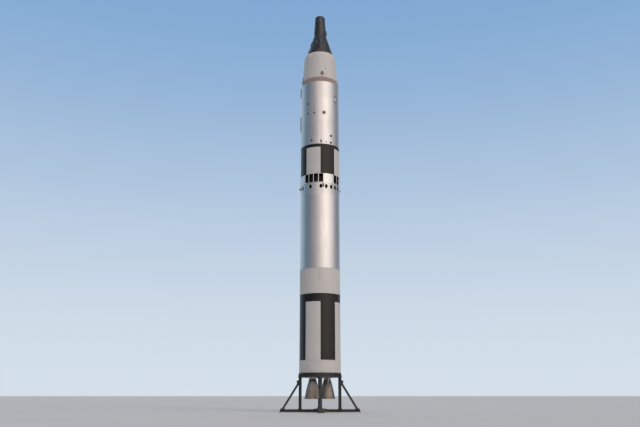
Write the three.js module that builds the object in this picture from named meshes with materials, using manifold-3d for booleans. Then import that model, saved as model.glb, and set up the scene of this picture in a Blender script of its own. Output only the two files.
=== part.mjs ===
// A two-stage launch rocket with a two-seat crew capsule, standing on its steel display stand.
// Millimetres, +Z up, origin on the floor under the middle of the stand.
// An angle round the body is in degrees, from -Y (the front) towards +X (the right).
import * as THREE from 'three';
import { mergeVertices } from 'three/addons/utils/BufferGeometryUtils.js';
import Module from 'manifold-3d';

const wasm = await Module();
wasm.setup();

// Driving dimensions of the body
const BODY_R = 1525; // both stages
const WALL = 60; // hollow sections, skin and frames together
const FACETS = 40; // flats round the body
const FIT = 0.4; // gap between a piece and the neighbour that was cut to it

// Heights where one section ends and the next begins, from the floor up
const Z = {
  beamTop: 200,
  standRing: 2450,
  aftSkirt: 2755,
  lowerTank: 3650,
  middleBand: 8460,
  upperTank: 10370,
  forwardSkirt: 16400,
  ventRing: 17020,
  interstage: 17750,
  secondLower: 20170,
  secondUpper: 22660,
  matingRing: 25510,
  adapterLower: 25930,
  adapterUpper: 27350,
  heatShield: 28330,
  cabin: 28400,
  control: 30280,
  nose: 30730,
  cover: 31950,
  top: 32150,
};

// The stand
const BEAM = { reach: 2900, width: 240 };
const HUB = { r: 480, top: 230 };
const PAD = { r: 2720, size: 460, top: 60 };
const POST = { r: 1450, width: 220, plate: 320, plateT: 30 };
const BRACE = { width: 150, topZ: 2230, plate: 340, plateT: 40 };
const STAND_RING = { innerR: 1320, outerR: 1545, flangeR: 1610, flangeT: 40 };

// The first stage's engine: two thrust chambers, each swivelling in a gimbal cross
const ENGINE_TURN = [['back', 45], ['front', 225]]; // name, direction of the chamber from the axis, from +X
const GIMBAL = { r: 780, z: 3060, hub: 150, hubH: 90 };
const PIN = { r: 30, holeR: 30.95, reach: 123, facets: 16 };
const EAR = { from: 85, to: 125, half: 60, tip: 50 };
const EAR_BRIDGE = { over: 20, low: 80 }; // block over a pair of ears, over their outside and from the pin up
const CHAMBER = {
  top: -110,
  topR: 170,
  faceZ: -300,
  r: 265,
  wall: 25,
  waistHigh: 220, // over the throat
  waistLow: 110,
  waistIn: 30,
  throatR: 197,
  throatZ: -720,
  exitR: 557,
  exitZ: -2110,
};
const COLLAR = { foot: 10, low: 20, high: 95, head: 130, reach: 85 }; // over the chamber's face and radius
const LIP = 18; // wall of the bell
const ACTUATOR = { arm: 420, rodR: 22, boreR: 22.4, barrelR: 55, barrelBelow: 60, boreAbove: 110 };
const ACTUATOR_LUG = { top: -210, thickness: 70, half: 40, over: 45, root: 30 };
const ROD_EYE = { gap: 10, height: 60, halfX: 30, halfY: 25, rodTop: 60 };
const FRAME = { bottom: 3200, top: 3400, innerR: 1380, beamReach: 1400, beamWidth: 250 };
const PUMP = { r: 620, ductOut: 190, ductR: 78, ductWall: 14, ductZ: 2725, ductEnd: 2130, mouthH: 260 };
const PUMP_OUTLINE = [
  [0, 2610],
  [90, 2610],
  [90, 2660],
  [170, 2680],
  [170, 2770],
  [130, 2800],
  [130, 2880],
  [200, 2910],
  [200, 3080],
  [120, 3120],
  [120, FRAME.bottom],
  [0, FRAME.bottom],
];

// Ends of the tanks: the lower tank's cone hangs into the skirt, the upper tank's dome rises into its skirt
const TANK_END = { gap: 25, coneH: 230, coneR: 800, coneRise: 60, domeH: 700 };

// Round holes of the forward skirt and the vents above them, as angles
const PORTS = [-62, -30, 1, 17, 33, 48, 62, 118, 150, 181, 197, 213, 228, 242];
const PORT = { z: 16710, width: 230, height: 340 };
const VENT_GROUPS = [-21, 71, 157, 251];
const VENT_STEPS = [-1.5, -0.5, 0.5, 1.5];
const VENT = { pitch: 15, width: 345, bottom: 17040, top: 17730 };
const LUG_TURNS = [8, 98, 188, 278]; // eyes for the stays
const LUG = { thickness: 50, reach: 120, height: 260, eyeR: 28, root: 40 };
const LUG_OVER = { port: 90, mating: 60 }; // over the ports' middle, over the mating ring

// The second stage's engine, seen through the vents, and the cone of the tank over it
const SECOND_ENGINE = { throatR: 110, throatZ: 18650, exitR: 800, exitZ: 17380, chamberR: 190, wall: 40 };
const SECOND_HEAD = { low: 150, face: 340, top: 380, flangeR: 420, flangeLow: 480, flangeHigh: 760 };
const SECOND_STEM = { r: 180, low: 19520 };
const SECOND_CONE = { tipZ: 19700, tipR: 200, kneeZ: 19900, kneeR: 1000 };

// Raceways: name, angle, lower end, upper end, width, height over the skin, whose sides slope from 0.6 up
const RACEWAYS = [
  ['first_stage_raceway', 172, 4100, 16300, 190, 90],
  ['second_stage_raceway_lower', -88, 21640, 22980, 130, 60],
  ['second_stage_raceway_upper', -88, 24680, 25460, 130, 60],
];

// The crew capsule
const ADAPTER = { baseR: 1410, shoulderR: 1285, shoulderZ: 27950, topR: 1120 };
const SHIELD = { over: 15, edgeIn: 8, edgeLow: 20 };
const CABIN = { baseR: 1090, topR: 490, wall: 52, floorT: 60 };
const HATCH = { middle: -50, spread: 24, z: 29260, half: 640, bottomHalf: 330, topHalf: 200, corner: 70 };
const HATCH_GAP = 10;
const WINDOW = { low: 70, high: 400, bottomHalf: 135, topHalf: 105, corner: 55 };
const PANE = { outside: -25, inside: -45 };
const HINGE = { out: 14, over: 30, pinR: 12, boreR: 12.9, knuckleR: 22, knuckleHalf: 55 };
const HINGE_PLACES = [-0.55, 0.6]; // from -1 at the hatch's foot to 1 at its top
const HINGE_EAR = { thickness: 20, gap: 5, near: -10, far: 34, low: -90, high: 14 };
const HINGE_FOOT = { near: -95, far: -32, low: -50 };
const HINGE_STRAP = { near: -60, low: -22 };
const SEAT = { x: 265, width: 440 };
// Seen from its side, [forward, up]
const SEAT_OUTLINE = [
  [-640, Z.cabin + CABIN.floorT],
  [440, Z.cabin + CABIN.floorT],
  [440, 28950],
  [360, 28960],
  [330, 28600],
  [-450, 28580],
  [-470, 28650],
  [-640, 28640],
];
const PANEL = { z: 29600, thickness: 60, edge: -120 };
const CONTROL_R = 490;
const NOSE = { bottomR: 478, topR: 405 };
const NOSE_COVER = [[0.985, 0.3], [0.82, 0.72], [0.5, 0.93]]; // parts of its radius and of its height
const SENSOR = { turn: 68, z: 30470, half: [150, 330, 130], sink: 30 };

// Finishes
function finish(color, roughness, metalness) {
  return new THREE.MeshStandardMaterial({ color, roughness, metalness });
}

const silver = finish(0xb9bbbf, 0.34, 0.9);
const white = finish(0xd9d6d1, 0.5, 0);
const black = finish(0x2b2928, 0.55, 0.1);
const charcoal = finish(0x2e3033, 0.6, 0.3);
const redBrown = finish(0x8f706c, 0.6, 0.1);
const steel = finish(0x22252a, 0.6, 0.5);
const engineMetal = finish(0x6e6a66, 0.45, 0.8);
const seatCloth = finish(0x54504a, 0.9, 0);
const glass = finish(0x1a2026, 0.08, 0);

// A closed three.js geometry as a solid that can be joined and cut.
function solid(geometry, place = new THREE.Matrix4()) {
  const bare = geometry.clone().applyMatrix4(place);
  bare.deleteAttribute('normal');
  bare.deleteAttribute('uv');
  const merged = mergeVertices(bare, 1e-3);
  const corners = merged.index.array;
  const triVerts = [];
  for (let i = 0; i < corners.length; i += 3) {
    const [a, b, c] = corners.slice(i, i + 3);
    if (a !== b && b !== c && c !== a) triVerts.push(a, b, c);
  }
  return new wasm.Manifold(
    new wasm.Mesh({
      numProp: 3,
      vertProperties: merged.attributes.position.array,
      triVerts: new Uint32Array(triVerts),
    }),
  );
}

// Turns an outline of [radius, height] points round the vertical axis.
// It starts and ends on the axis, or closes.
function turned(outline, facets = FACETS) {
  const onAxis = outline[0][0] === 0 && outline.at(-1)[0] === 0;
  const points = onAxis ? outline : [...outline, outline[0]];
  const lathe = new THREE.LatheGeometry(points.map(([r, z]) => new THREE.Vector2(r, z)), facets);
  return solid(lathe.rotateX(Math.PI / 2));
}

const ring = (innerR, outerR, low, high) =>
  turned([[innerR, low], [outerR, low], [outerR, high], [innerR, high]]);

const move = (x, y, z) => new THREE.Matrix4().makeTranslation(x, y, z);

// A block from its lowest to its highest corner.
function block([x0, y0, z0], [x1, y1, z1], place = new THREE.Matrix4()) {
  const middle = move((x0 + x1) / 2, (y0 + y1) / 2, (z0 + z1) / 2);
  return solid(new THREE.BoxGeometry(x1 - x0, y1 - y0, z1 - z0), place.clone().multiply(middle));
}

// A round bar between two points.
function bar(from, to, radius, facets = 12) {
  const along = new THREE.Vector3().subVectors(to, from);
  const up = new THREE.Vector3(0, 1, 0);
  const turn = new THREE.Quaternion().setFromUnitVectors(up, along.clone().normalize());
  const middle = new THREE.Vector3().addVectors(from, to).multiplyScalar(0.5);
  const place = new THREE.Matrix4().compose(middle, turn, new THREE.Vector3(1, 1, 1));
  return solid(new THREE.CylinderGeometry(radius, radius, along.length(), facets), place);
}

// A round bar through a place, along its x or y axis, from one distance to the other.
function barAlong(axis, from, to, radius, facets, place = new THREE.Matrix4()) {
  const ends = [from, to].map((length) => new THREE.Vector3().setComponent(axis, length));
  return bar(...ends.map((end) => end.applyMatrix4(place)), radius, facets);
}

// A round upright on the axis.
function drum(radius, low, high, facets = FACETS) {
  return turned([[0, low], [radius, low], [radius, high], [0, high]], facets);
}

// A thin round upright at a place in plan.
const upright = (radius, low, high, [x, y]) => drum(radius, low, high, 12).translate([x, y, 0]);

// A place on the body's wall: x runs round it, y up it and z out of it. A positive lean tips it back.
function onWall(turn, radius, z, lean = 0) {
  const angle = THREE.MathUtils.degToRad(turn);
  const round = new THREE.Vector3(Math.cos(angle), Math.sin(angle), 0);
  const out = new THREE.Vector3(Math.sin(angle), -Math.cos(angle), 0);
  const up = new THREE.Vector3(0, 0, 1);
  const out2 = out.clone().multiplyScalar(Math.cos(lean)).addScaledVector(up, Math.sin(lean));
  const up2 = new THREE.Vector3().crossVectors(out2, round);
  const place = new THREE.Matrix4().makeBasis(round, up2, out2);
  return place.setPosition(out.multiplyScalar(radius).setZ(z));
}

// A flat outline pushed along z from one depth to another.
function pushed(shape, from, to, place) {
  const settings = { depth: to - from, bevelEnabled: false, curveSegments: 6 };
  return solid(new THREE.ExtrudeGeometry(shape, settings), place.clone().multiply(move(0, 0, from)));
}

const joined = (pieces) => pieces.reduce((whole, piece) => whole.add(piece));
const cut = (whole, pieces) => pieces.reduce((rest, piece) => rest.subtract(piece), whole);

const rocket = new THREE.Group();

function section(name, turn = 0) {
  const group = new THREE.Group();
  group.name = name;
  group.rotation.z = THREE.MathUtils.degToRad(turn);
  rocket.add(group);
  return group;
}

function addPiece(group, name, body, material) {
  const { vertProperties, triVerts } = body.getMesh();
  const geometry = new THREE.BufferGeometry();
  geometry.setAttribute('position', new THREE.BufferAttribute(vertProperties, 3));
  geometry.setIndex(new THREE.BufferAttribute(triVerts, 1));
  geometry.computeVertexNormals();
  const mesh = new THREE.Mesh(geometry, material);
  mesh.name = name;
  group.add(mesh);
}

// Stand: two crossed floor beams with a hub plate, four posts with splayed braces,
// and the ring the rocket sits on.
function buildStand() {
  const stand = section('stand');
  const { reach, width } = BEAM;
  const pieces = [
    block([-reach, -width / 2, 0], [reach, width / 2, Z.beamTop]),
    block([-width / 2, -reach, 0], [width / 2, reach, Z.beamTop]),
    drum(HUB.r, 0, HUB.top, 16),
  ];
  const half = PAD.size / 2;
  for (const [x, y] of [[1, 0], [0, 1], [-1, 0], [0, -1]]) {
    const pad = move(x * PAD.r, y * PAD.r, 0);
    pieces.push(block([-half, -half, 0], [half, half, PAD.top], pad));
  }
  addPiece(stand, 'stand_base', joined(pieces), steel);

  const leg = buildLeg();
  [['right', 0], ['back', 90], ['left', 180], ['front', 270]].forEach(([name, turn]) => {
    addPiece(section(`leg_${name}`, turn), `stand_leg_${name}`, leg, steel);
  });

  const { innerR, outerR, flangeR, flangeT } = STAND_RING;
  const low = Z.standRing;
  const flangeTop = low + flangeT;
  const outline = [[innerR, low], [flangeR, low], [flangeR, flangeTop], [outerR, flangeTop]];
  outline.push([outerR, Z.aftSkirt], [innerR, Z.aftSkirt]);
  addPiece(stand, 'stand_ring', turned(outline), steel);
}

// A square upright block about a place on the x axis.
function post(x, half, low, high) {
  return block([x - half, -half, low], [x + half, half, high]);
}

function buildLeg() {
  const low = Z.beamTop;
  const uprights = [
    post(POST.r, POST.width / 2, low, Z.standRing),
    post(POST.r, POST.plate / 2, low, low + POST.plateT),
    post(PAD.r, BRACE.plate / 2, low, low + BRACE.plateT),
  ];
  const rise = BRACE.topZ - low;
  const run = PAD.r - POST.r;
  const length = Math.hypot(rise, run);
  const tilt = new THREE.Matrix4().makeRotationY(-Math.atan2(run, rise));
  const half = BRACE.width / 2;
  const place = move(PAD.r, 0, low).multiply(tilt);
  const brace = block([-half, -half, -half], [half, half, length], place);
  const floor = block([0, -BEAM.width, -BEAM.width], [BEAM.reach * 2, BEAM.width, low]);
  return joined([...uprights, brace.subtract(floor)]);
}

// Bell: from the throat down the wall is steep at first and nearly straight at the lip.
function bell({ throatR, throatZ, exitR, exitZ }, steps) {
  const bendR = throatR + (exitR - throatR) * 0.5;
  const bendZ = throatZ + (exitZ - throatZ) * 0.26;
  const curve = new THREE.QuadraticBezierCurve(
    new THREE.Vector2(throatR, throatZ),
    new THREE.Vector2(bendR, bendZ),
    new THREE.Vector2(exitR, exitZ),
  );
  return curve.getPoints(steps).map(({ x, y }) => [x, y]);
}

// One engine's pieces are built about its gimbal centre, with x pointing out from the rocket's axis.
function buildThrustChamber() {
  const { top, topR, faceZ, r, wall, waistHigh, waistLow, waistIn, throatZ } = CHAMBER;
  const outerR = r + wall;
  const inside = bell(CHAMBER, 7);
  const outside = inside.map(([radius, z]) => [radius + LIP, z]).reverse();
  const body = turned(
    [
      [0, faceZ],
      [r, faceZ],
      [r, throatZ + waistHigh],
      [r - waistIn, throatZ + waistLow],
      ...inside,
      ...outside,
      [outerR - waistIn, throatZ + waistLow],
      [outerR, throatZ + waistHigh],
      [outerR, faceZ + COLLAR.foot],
      [r + COLLAR.reach, faceZ + COLLAR.low],
      [r + COLLAR.reach, faceZ + COLLAR.high],
      [outerR, faceZ + COLLAR.head],
      [topR, top - 4],
      [0, top],
    ],
    20,
  );
  const pinHole = barAlong(1, -EAR.to - 5, EAR.to + 5, PIN.holeR, PIN.facets);
  const ears = [[-EAR.to, -EAR.from], [EAR.from, EAR.to]].map(([near, far]) =>
    block([-EAR.half, near, top - 40], [EAR.half, far, EAR.tip]).subtract(pinHole),
  );
  const { half, over, root } = ACTUATOR_LUG;
  const reach = ACTUATOR.arm + over;
  const low = ACTUATOR_LUG.top - ACTUATOR_LUG.thickness;
  const lugs = [
    block([-half, r + root, low], [half, reach, ACTUATOR_LUG.top]),
    block([-reach, -half, low], [-r - root, half, ACTUATOR_LUG.top]),
  ];
  return joined([body, ...lugs, ...ears]);
}

function buildGimbalCross() {
  const { hub, hubH } = GIMBAL;
  return joined([
    block([-hub / 2, -hub / 2, -hubH / 2], [hub / 2, hub / 2, hubH / 2]),
    barAlong(0, -PIN.reach, PIN.reach, PIN.r, PIN.facets),
    barAlong(1, -PIN.reach, PIN.reach, PIN.r, PIN.facets),
  ]);
}

function buildActuatorRod() {
  const { gap, height, halfX, halfY, rodTop } = ROD_EYE;
  const eyeLow = ACTUATOR_LUG.top + gap;
  const eye = block([-halfX, -halfY, eyeLow], [halfX, halfY, eyeLow + height]);
  return eye.add(drum(ACTUATOR.rodR, eyeLow + height - 10, rodTop, 12));
}

// Thrust frame: a ring inside the skirt with crossed beams, two gimbal brackets and four actuator barrels.
function buildThrustFrame() {
  const { bottom, top, innerR, beamReach, beamWidth } = FRAME;
  const half = beamWidth / 2;
  const across = Math.sqrt(beamReach ** 2 - (GIMBAL.r + half) ** 2);
  const pieces = [
    ring(innerR, BODY_R - WALL - FIT, bottom, top),
    block([-beamReach, -half, bottom], [beamReach, half, top]),
    block([-half, -beamReach, bottom], [half, beamReach, top]),
  ];
  const bores = [];
  const { over, low } = EAR_BRIDGE;
  const bridge = [EAR.to + over, EAR.half + over];
  const barrelLow = GIMBAL.z - ACTUATOR.barrelBelow;
  for (const turn of [0, 180]) {
    const side = new THREE.Matrix4().makeRotationZ(THREE.MathUtils.degToRad(turn));
    const place = side.clone().multiply(move(GIMBAL.r, 0, GIMBAL.z));
    pieces.push(block([GIMBAL.r - half, -across, bottom], [GIMBAL.r + half, across, top], side));
    pieces.push(block([-bridge[0], -bridge[1], low], [...bridge, bottom - GIMBAL.z + 5], place));
    for (const [near, far] of [[-EAR.to, -EAR.from], [EAR.from, EAR.to]]) {
      pieces.push(block([near, -EAR.half, -EAR.tip], [far, EAR.half, low + 10], place));
    }
    bores.push(barAlong(0, -EAR.to - 5, EAR.to + 5, PIN.holeR, PIN.facets, place));
    for (const [x, y] of [[0, ACTUATOR.arm], [-ACTUATOR.arm, 0]]) {
      const spot = new THREE.Vector3(x, y, 0).applyMatrix4(place).toArray();
      pieces.push(upright(ACTUATOR.barrelR, barrelLow, bottom + 5, spot));
      bores.push(upright(ACTUATOR.boreR, barrelLow - 5, GIMBAL.z + ACTUATOR.boreAbove, spot));
    }
  }
  return cut(joined(pieces), bores);
}

function buildTurbopump() {
  const { r, ductOut, ductR, ductWall, ductZ, ductEnd, mouthH } = PUMP;
  const pump = turned(PUMP_OUTLINE, 20);
  const elbow = bar(new THREE.Vector3(0, 0, ductZ), new THREE.Vector3(ductOut, 0, ductZ), ductR);
  const duct = upright(ductR, ductEnd, ductZ + ductR, [ductOut, 0]);
  const mouth = upright(ductR - ductWall, ductEnd - 10, ductEnd + mouthH, [ductOut, 0]);
  return joined([pump, elbow, duct]).subtract(mouth).translate([r, 0, 0]);
}

function buildEngine() {
  const frame = section('thrust_frame', ENGINE_TURN[0][1]);
  addPiece(frame, 'thrust_frame', buildThrustFrame(), engineMetal);
  const chamber = buildThrustChamber();
  const cross = buildGimbalCross();
  const rod = buildActuatorRod();
  const pump = buildTurbopump();
  for (const [name, turn] of ENGINE_TURN) {
    const side = section(`engine_${name}`, turn);
    const engine = new THREE.Group();
    engine.position.set(GIMBAL.r, 0, GIMBAL.z);
    side.add(engine);
    addPiece(engine, `gimbal_cross_${name}`, cross, engineMetal);
    addPiece(engine, `thrust_chamber_${name}`, chamber, engineMetal);
    addPiece(engine, `pitch_rod_${name}`, rod.translate([0, ACTUATOR.arm, 0]), engineMetal);
    addPiece(engine, `yaw_rod_${name}`, rod.translate([-ACTUATOR.arm, 0, 0]), engineMetal);
    addPiece(section(`pump_${name}`, turn + 90), `turbopump_${name}`, pump, engineMetal);
  }
}

// An eye for a stay: a plate standing out of the wall, with a hole along the wall.
function stayLug(turn, radius, z) {
  const { thickness, reach, height, eyeR, root } = LUG;
  const place = onWall(turn, radius, z);
  const plate = block([-thickness / 2, -height / 2, -root], [thickness / 2, height / 2, reach], place);
  const eyePlace = place.clone().multiply(move(0, 0, reach * 0.55));
  return plate.subtract(barAlong(0, -thickness, thickness, eyeR, 12, eyePlace));
}

function raceway(turn, low, high, width, height) {
  const profile = new THREE.Shape();
  const half = width / 2;
  profile.moveTo(-half, -WALL);
  profile.lineTo(half, -WALL);
  profile.lineTo(half, height * 0.6);
  profile.lineTo(half * 0.6, height);
  profile.lineTo(-half * 0.6, height);
  profile.lineTo(-half, height * 0.6);
  const place = onWall(turn, BODY_R, low);
  const upwards = new THREE.Matrix4().makeBasis(
    new THREE.Vector3(-1, 0, 0),
    new THREE.Vector3(0, 0, 1),
    new THREE.Vector3(0, 1, 0),
  );
  const strip = pushed(profile, 0, high - low, place.multiply(upwards));
  return strip.subtract(drum(BODY_R + FIT, low - 10, high + 10));
}

// First stage: open skirt, lower tank, middle band, upper tank with its dome, ported skirt and vent ring.
function buildFirstStage() {
  const stage = section('first_stage');
  const innerR = BODY_R - WALL;
  addPiece(stage, 'aft_skirt', ring(innerR, BODY_R, Z.aftSkirt, Z.lowerTank), white);

  const { gap, coneH, coneR, coneRise, domeH } = TANK_END;
  const endR = innerR - gap;
  const coneLow = Z.lowerTank - coneH;
  const lower = [[0, coneLow], [coneR, coneLow + coneRise], [endR, Z.lowerTank], [BODY_R, Z.lowerTank]];
  addPiece(stage, 'lower_tank', turned([...lower, [BODY_R, Z.middleBand], [0, Z.middleBand]]), black);
  addPiece(stage, 'middle_band', drum(BODY_R, Z.middleBand, Z.upperTank), white);

  const dome = [0, 23, 45, 68].map((angle) => {
    const turn = THREE.MathUtils.degToRad(angle);
    return [endR * Math.cos(turn), Z.forwardSkirt + domeH * Math.sin(turn)];
  });
  dome.push([0, Z.forwardSkirt + domeH]);
  const upper = [[0, Z.upperTank], [BODY_R, Z.upperTank], [BODY_R, Z.forwardSkirt], ...dome];
  addPiece(stage, 'upper_tank', turned(upper), silver);

  const oval = new THREE.Shape();
  oval.absellipse(0, 0, PORT.width / 2, PORT.height / 2, 0, Math.PI * 2);
  const ports = PORTS.map((turn) => pushed(oval, -200, 100, onWall(turn, BODY_R, PORT.z)));
  const core = drum(innerR + 20, Z.forwardSkirt, Z.ventRing);
  const lugs = LUG_TURNS.map((turn) => stayLug(turn, BODY_R, PORT.z + LUG_OVER.port).subtract(core));
  const skirt = cut(ring(innerR, BODY_R, Z.forwardSkirt, Z.ventRing), ports);
  addPiece(stage, 'forward_skirt', joined([skirt, ...lugs]), silver);

  const vents = VENT_GROUPS.flatMap((group) =>
    VENT_STEPS.map((step) => {
      const place = onWall(group + step * VENT.pitch, BODY_R, 0);
      return block([-VENT.width / 2, VENT.bottom, -200], [VENT.width / 2, VENT.top, 100], place);
    }),
  );
  addPiece(stage, 'vent_ring', cut(ring(innerR, BODY_R, Z.ventRing, Z.interstage), vents), silver);
}

// Second stage: hollow interstage with the engine inside, and two tank barrels.
function buildSecondStage() {
  const stage = section('second_stage');
  const innerR = BODY_R - WALL;
  addPiece(stage, 'interstage', ring(innerR, BODY_R, Z.interstage, Z.secondLower), black);

  const { chamberR, throatZ, wall } = SECOND_ENGINE;
  const { low, face, top, flangeR, flangeLow, flangeHigh } = SECOND_HEAD;
  const { tipZ, tipR, kneeZ, kneeR } = SECOND_CONE;
  const inside = bell(SECOND_ENGINE, 5);
  const outside = inside.map(([radius, z]) => [radius + LIP, z]).reverse();
  const engine = turned(
    [
      [0, throatZ + face],
      [chamberR, throatZ + face],
      [chamberR, throatZ + low],
      ...inside,
      ...outside,
      [chamberR + wall, throatZ + low],
      [chamberR + wall, throatZ + top],
      [flangeR, throatZ + flangeLow],
      [flangeR, throatZ + flangeHigh],
      [SECOND_STEM.r, SECOND_STEM.low],
      [SECOND_STEM.r, tipZ],
      [0, tipZ],
    ],
    20,
  );
  addPiece(stage, 'second_stage_engine', engine, engineMetal);

  const cone = [[0, tipZ], [tipR, tipZ], [kneeR, kneeZ], [innerR - TANK_END.gap, Z.secondLower]];
  const lower = [...cone, [BODY_R, Z.secondLower], [BODY_R, Z.secondUpper], [0, Z.secondUpper]];
  addPiece(stage, 'second_stage_lower_tank', turned(lower), silver);
  const upper = drum(BODY_R, Z.secondUpper, Z.matingRing);
  addPiece(stage, 'second_stage_upper_tank', upper, silver);
}

function buildRaceways() {
  const group = section('raceways');
  for (const [name, ...sizes] of RACEWAYS) addPiece(group, name, raceway(...sizes), silver);
}

// The cabin is a hollow cone. Its radius is outside, at a height.
const cabinSlope = (CABIN.baseR - CABIN.topR) / (Z.control - Z.cabin);
const cabinLean = Math.atan(cabinSlope);
const cabinR = (z) => CABIN.baseR - cabinSlope * (z - Z.cabin);
const cabinInnerR = (z) => cabinR(z) - CABIN.wall;

// An outline with cut corners, wider at its foot.
function keystone(low, high, bottomHalf, topHalf, corner) {
  const shape = new THREE.Shape();
  const slope = (bottomHalf - topHalf) / (high - low);
  const right = [
    [bottomHalf - corner, low],
    [bottomHalf - corner * slope, low + corner],
    [topHalf + corner * slope, high - corner],
    [topHalf - corner, high],
  ];
  const left = right.map(([x, y]) => [-x, y]).reverse();
  [...right, ...left].forEach(([x, y], i) => (i ? shape.lineTo(x, y) : shape.moveTo(x, y)));
  return shape;
}

function hatchOutline(grow) {
  const { half, bottomHalf, topHalf, corner } = HATCH;
  return keystone(-half - grow, half + grow, bottomHalf + grow, topHalf + grow, corner);
}

function windowOutline(grow) {
  const { low, high, bottomHalf, topHalf, corner } = WINDOW;
  return keystone(low - grow, high + grow, bottomHalf + grow, topHalf + grow, corner);
}

const hatchPlace = (side) =>
  onWall(HATCH.middle + side * HATCH.spread, cabinR(HATCH.z), HATCH.z, cabinLean);

// A point of a hatch's hinge line, just outside its outer edge: part is -1 at the foot and 1 at the top.
function hingePoint(side, part) {
  const along = part * HATCH.half;
  const half = (HATCH.bottomHalf + HATCH.topHalf) / 2 - part * (HATCH.bottomHalf - HATCH.topHalf) / 2;
  const radius = cabinR(HATCH.z + along * Math.cos(cabinLean));
  const fall = (radius - Math.sqrt(radius ** 2 - half ** 2)) * Math.cos(cabinLean);
  const point = new THREE.Vector3(side * (half + HINGE.out), along, HINGE.over - fall);
  return point.applyMatrix4(hatchPlace(side));
}

// A frame on the hinge line: x runs round the cabin, y along the hinge and z out of the cabin.
function onHinge(side, part) {
  const axis = hingePoint(side, 1).sub(hingePoint(side, -1)).normalize();
  const outward = new THREE.Vector3().setFromMatrixColumn(hatchPlace(side), 2);
  const across = new THREE.Vector3().crossVectors(axis, outward).normalize();
  const out = new THREE.Vector3().crossVectors(across, axis);
  return new THREE.Matrix4().makeBasis(across, axis, out).setPosition(hingePoint(side, part));
}

function hingePieces(side) {
  const { pinR, boreR, knuckleR, knuckleHalf } = HINGE;
  const earIn = knuckleHalf + HINGE_EAR.gap;
  const earOut = earIn + HINGE_EAR.thickness;
  const onShell = [];
  const onHatch = [];
  const bores = [];
  for (const part of HINGE_PLACES) {
    const place = onHinge(side, part);
    const span = (from, to) => [side * from, side * to].sort((a, b) => a - b);
    const slab = ([x0, x1], [y0, y1], [z0, z1]) => block([x0, y0, z0], [x1, y1, z1], place);
    const rod = (radius, half) => barAlong(1, -half, half, radius, 12, place);
    const earAcross = span(HINGE_EAR.near, HINGE_EAR.far);
    for (const along of [[-earOut, -earIn], [earIn, earOut]]) {
      onShell.push(slab(earAcross, along, [HINGE_EAR.low, HINGE_EAR.high]));
    }
    onShell.push(rod(pinR, earIn + HINGE_EAR.thickness / 2));
    const knuckle = [-knuckleHalf, knuckleHalf];
    onHatch.push(rod(knuckleR, knuckleHalf));
    onHatch.push(slab(span(HINGE_FOOT.near, HINGE_FOOT.far), knuckle, [HINGE_FOOT.low, 0]));
    onHatch.push(slab(span(HINGE_STRAP.near, 0), knuckle, [HINGE_STRAP.low, 0]));
    bores.push(rod(boreR, knuckleHalf + 5));
  }
  return { onShell, onHatch, bores };
}

// Capsule: adapter on its mating ring, heat shield, hollow cabin with hatches and seats,
// control and nose sections.
function buildCapsule() {
  const capsule = section('capsule');
  const { baseR, shoulderR, shoulderZ, topR } = ADAPTER;
  const mating = turned([
    [0, Z.matingRing],
    [BODY_R, Z.matingRing],
    [baseR, Z.adapterLower],
    [0, Z.adapterLower],
  ]);
  const core = turned([
    [0, Z.secondUpper],
    [baseR - WALL, Z.secondUpper],
    [baseR + FIT, Z.adapterLower],
    [baseR + FIT, Z.adapterUpper],
    [0, Z.adapterUpper],
  ]);
  const lugs = LUG_TURNS.map((turn) =>
    stayLug(turn, baseR + LUG.root - 10, Z.adapterLower + LUG_OVER.mating).subtract(core),
  );
  addPiece(capsule, 'mating_ring', joined([mating, ...lugs]), redBrown);

  const seamPart = (Z.adapterUpper - Z.adapterLower) / (shoulderZ - Z.adapterLower);
  const seamR = baseR + (shoulderR - baseR) * seamPart;
  const lower = [[0, Z.adapterLower], [baseR, Z.adapterLower], [seamR, Z.adapterUpper], [0, Z.adapterUpper]];
  addPiece(capsule, 'adapter_lower', turned(lower), white);
  const shoulder = new THREE.QuadraticBezierCurve(
    new THREE.Vector2(shoulderR, shoulderZ),
    new THREE.Vector2(shoulderR - 20, Z.heatShield - 40),
    new THREE.Vector2(topR, Z.heatShield),
  ).getPoints(4).map(({ x, y }) => [x, y]);
  const upper = [[0, Z.adapterUpper], [seamR, Z.adapterUpper], ...shoulder, [0, Z.heatShield]];
  addPiece(capsule, 'adapter_upper', turned(upper), white);

  const shieldR = CABIN.baseR + SHIELD.over;
  const shield = turned([
    [0, Z.heatShield],
    [CABIN.baseR, Z.heatShield],
    [shieldR, Z.cabin - SHIELD.edgeLow],
    [shieldR - SHIELD.edgeIn, Z.cabin],
    [0, Z.cabin],
  ]);
  addPiece(capsule, 'heat_shield', shield, redBrown);

  buildCabin(capsule);

  addPiece(capsule, 'control_section', drum(CONTROL_R, Z.control, Z.nose), charcoal);
  const nose = [[0, Z.nose], [NOSE.bottomR, Z.nose], [NOSE.topR, Z.cover], [0, Z.cover]];
  addPiece(capsule, 'nose_section', turned(nose), charcoal);
  const crown = NOSE_COVER.map(([part, rise]) => [NOSE.topR * part, Z.cover + (Z.top - Z.cover) * rise]);
  const cover = turned([[0, Z.cover], [NOSE.topR, Z.cover], ...crown, [0, Z.top]]);
  addPiece(capsule, 'nose_cover', cover, charcoal);

  const [halfX, halfY, halfZ] = SENSOR.half;
  const blister = new THREE.SphereGeometry(1, 16, 10).scale(halfX, halfY, halfZ);
  const hull = [
    [0, Z.cabin],
    [CABIN.baseR + FIT, Z.cabin],
    [CABIN.topR + FIT, Z.control],
    [CONTROL_R + FIT, Z.nose + 1],
    [NOSE.bottomR + FIT, Z.nose + 1],
    [NOSE.topR + FIT, Z.cover],
    [0, Z.cover],
  ];
  const sensor = solid(blister, onWall(SENSOR.turn, CONTROL_R - SENSOR.sink, SENSOR.z));
  addPiece(capsule, 'sensor_fairing', sensor.subtract(turned(hull)), charcoal);
}

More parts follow.
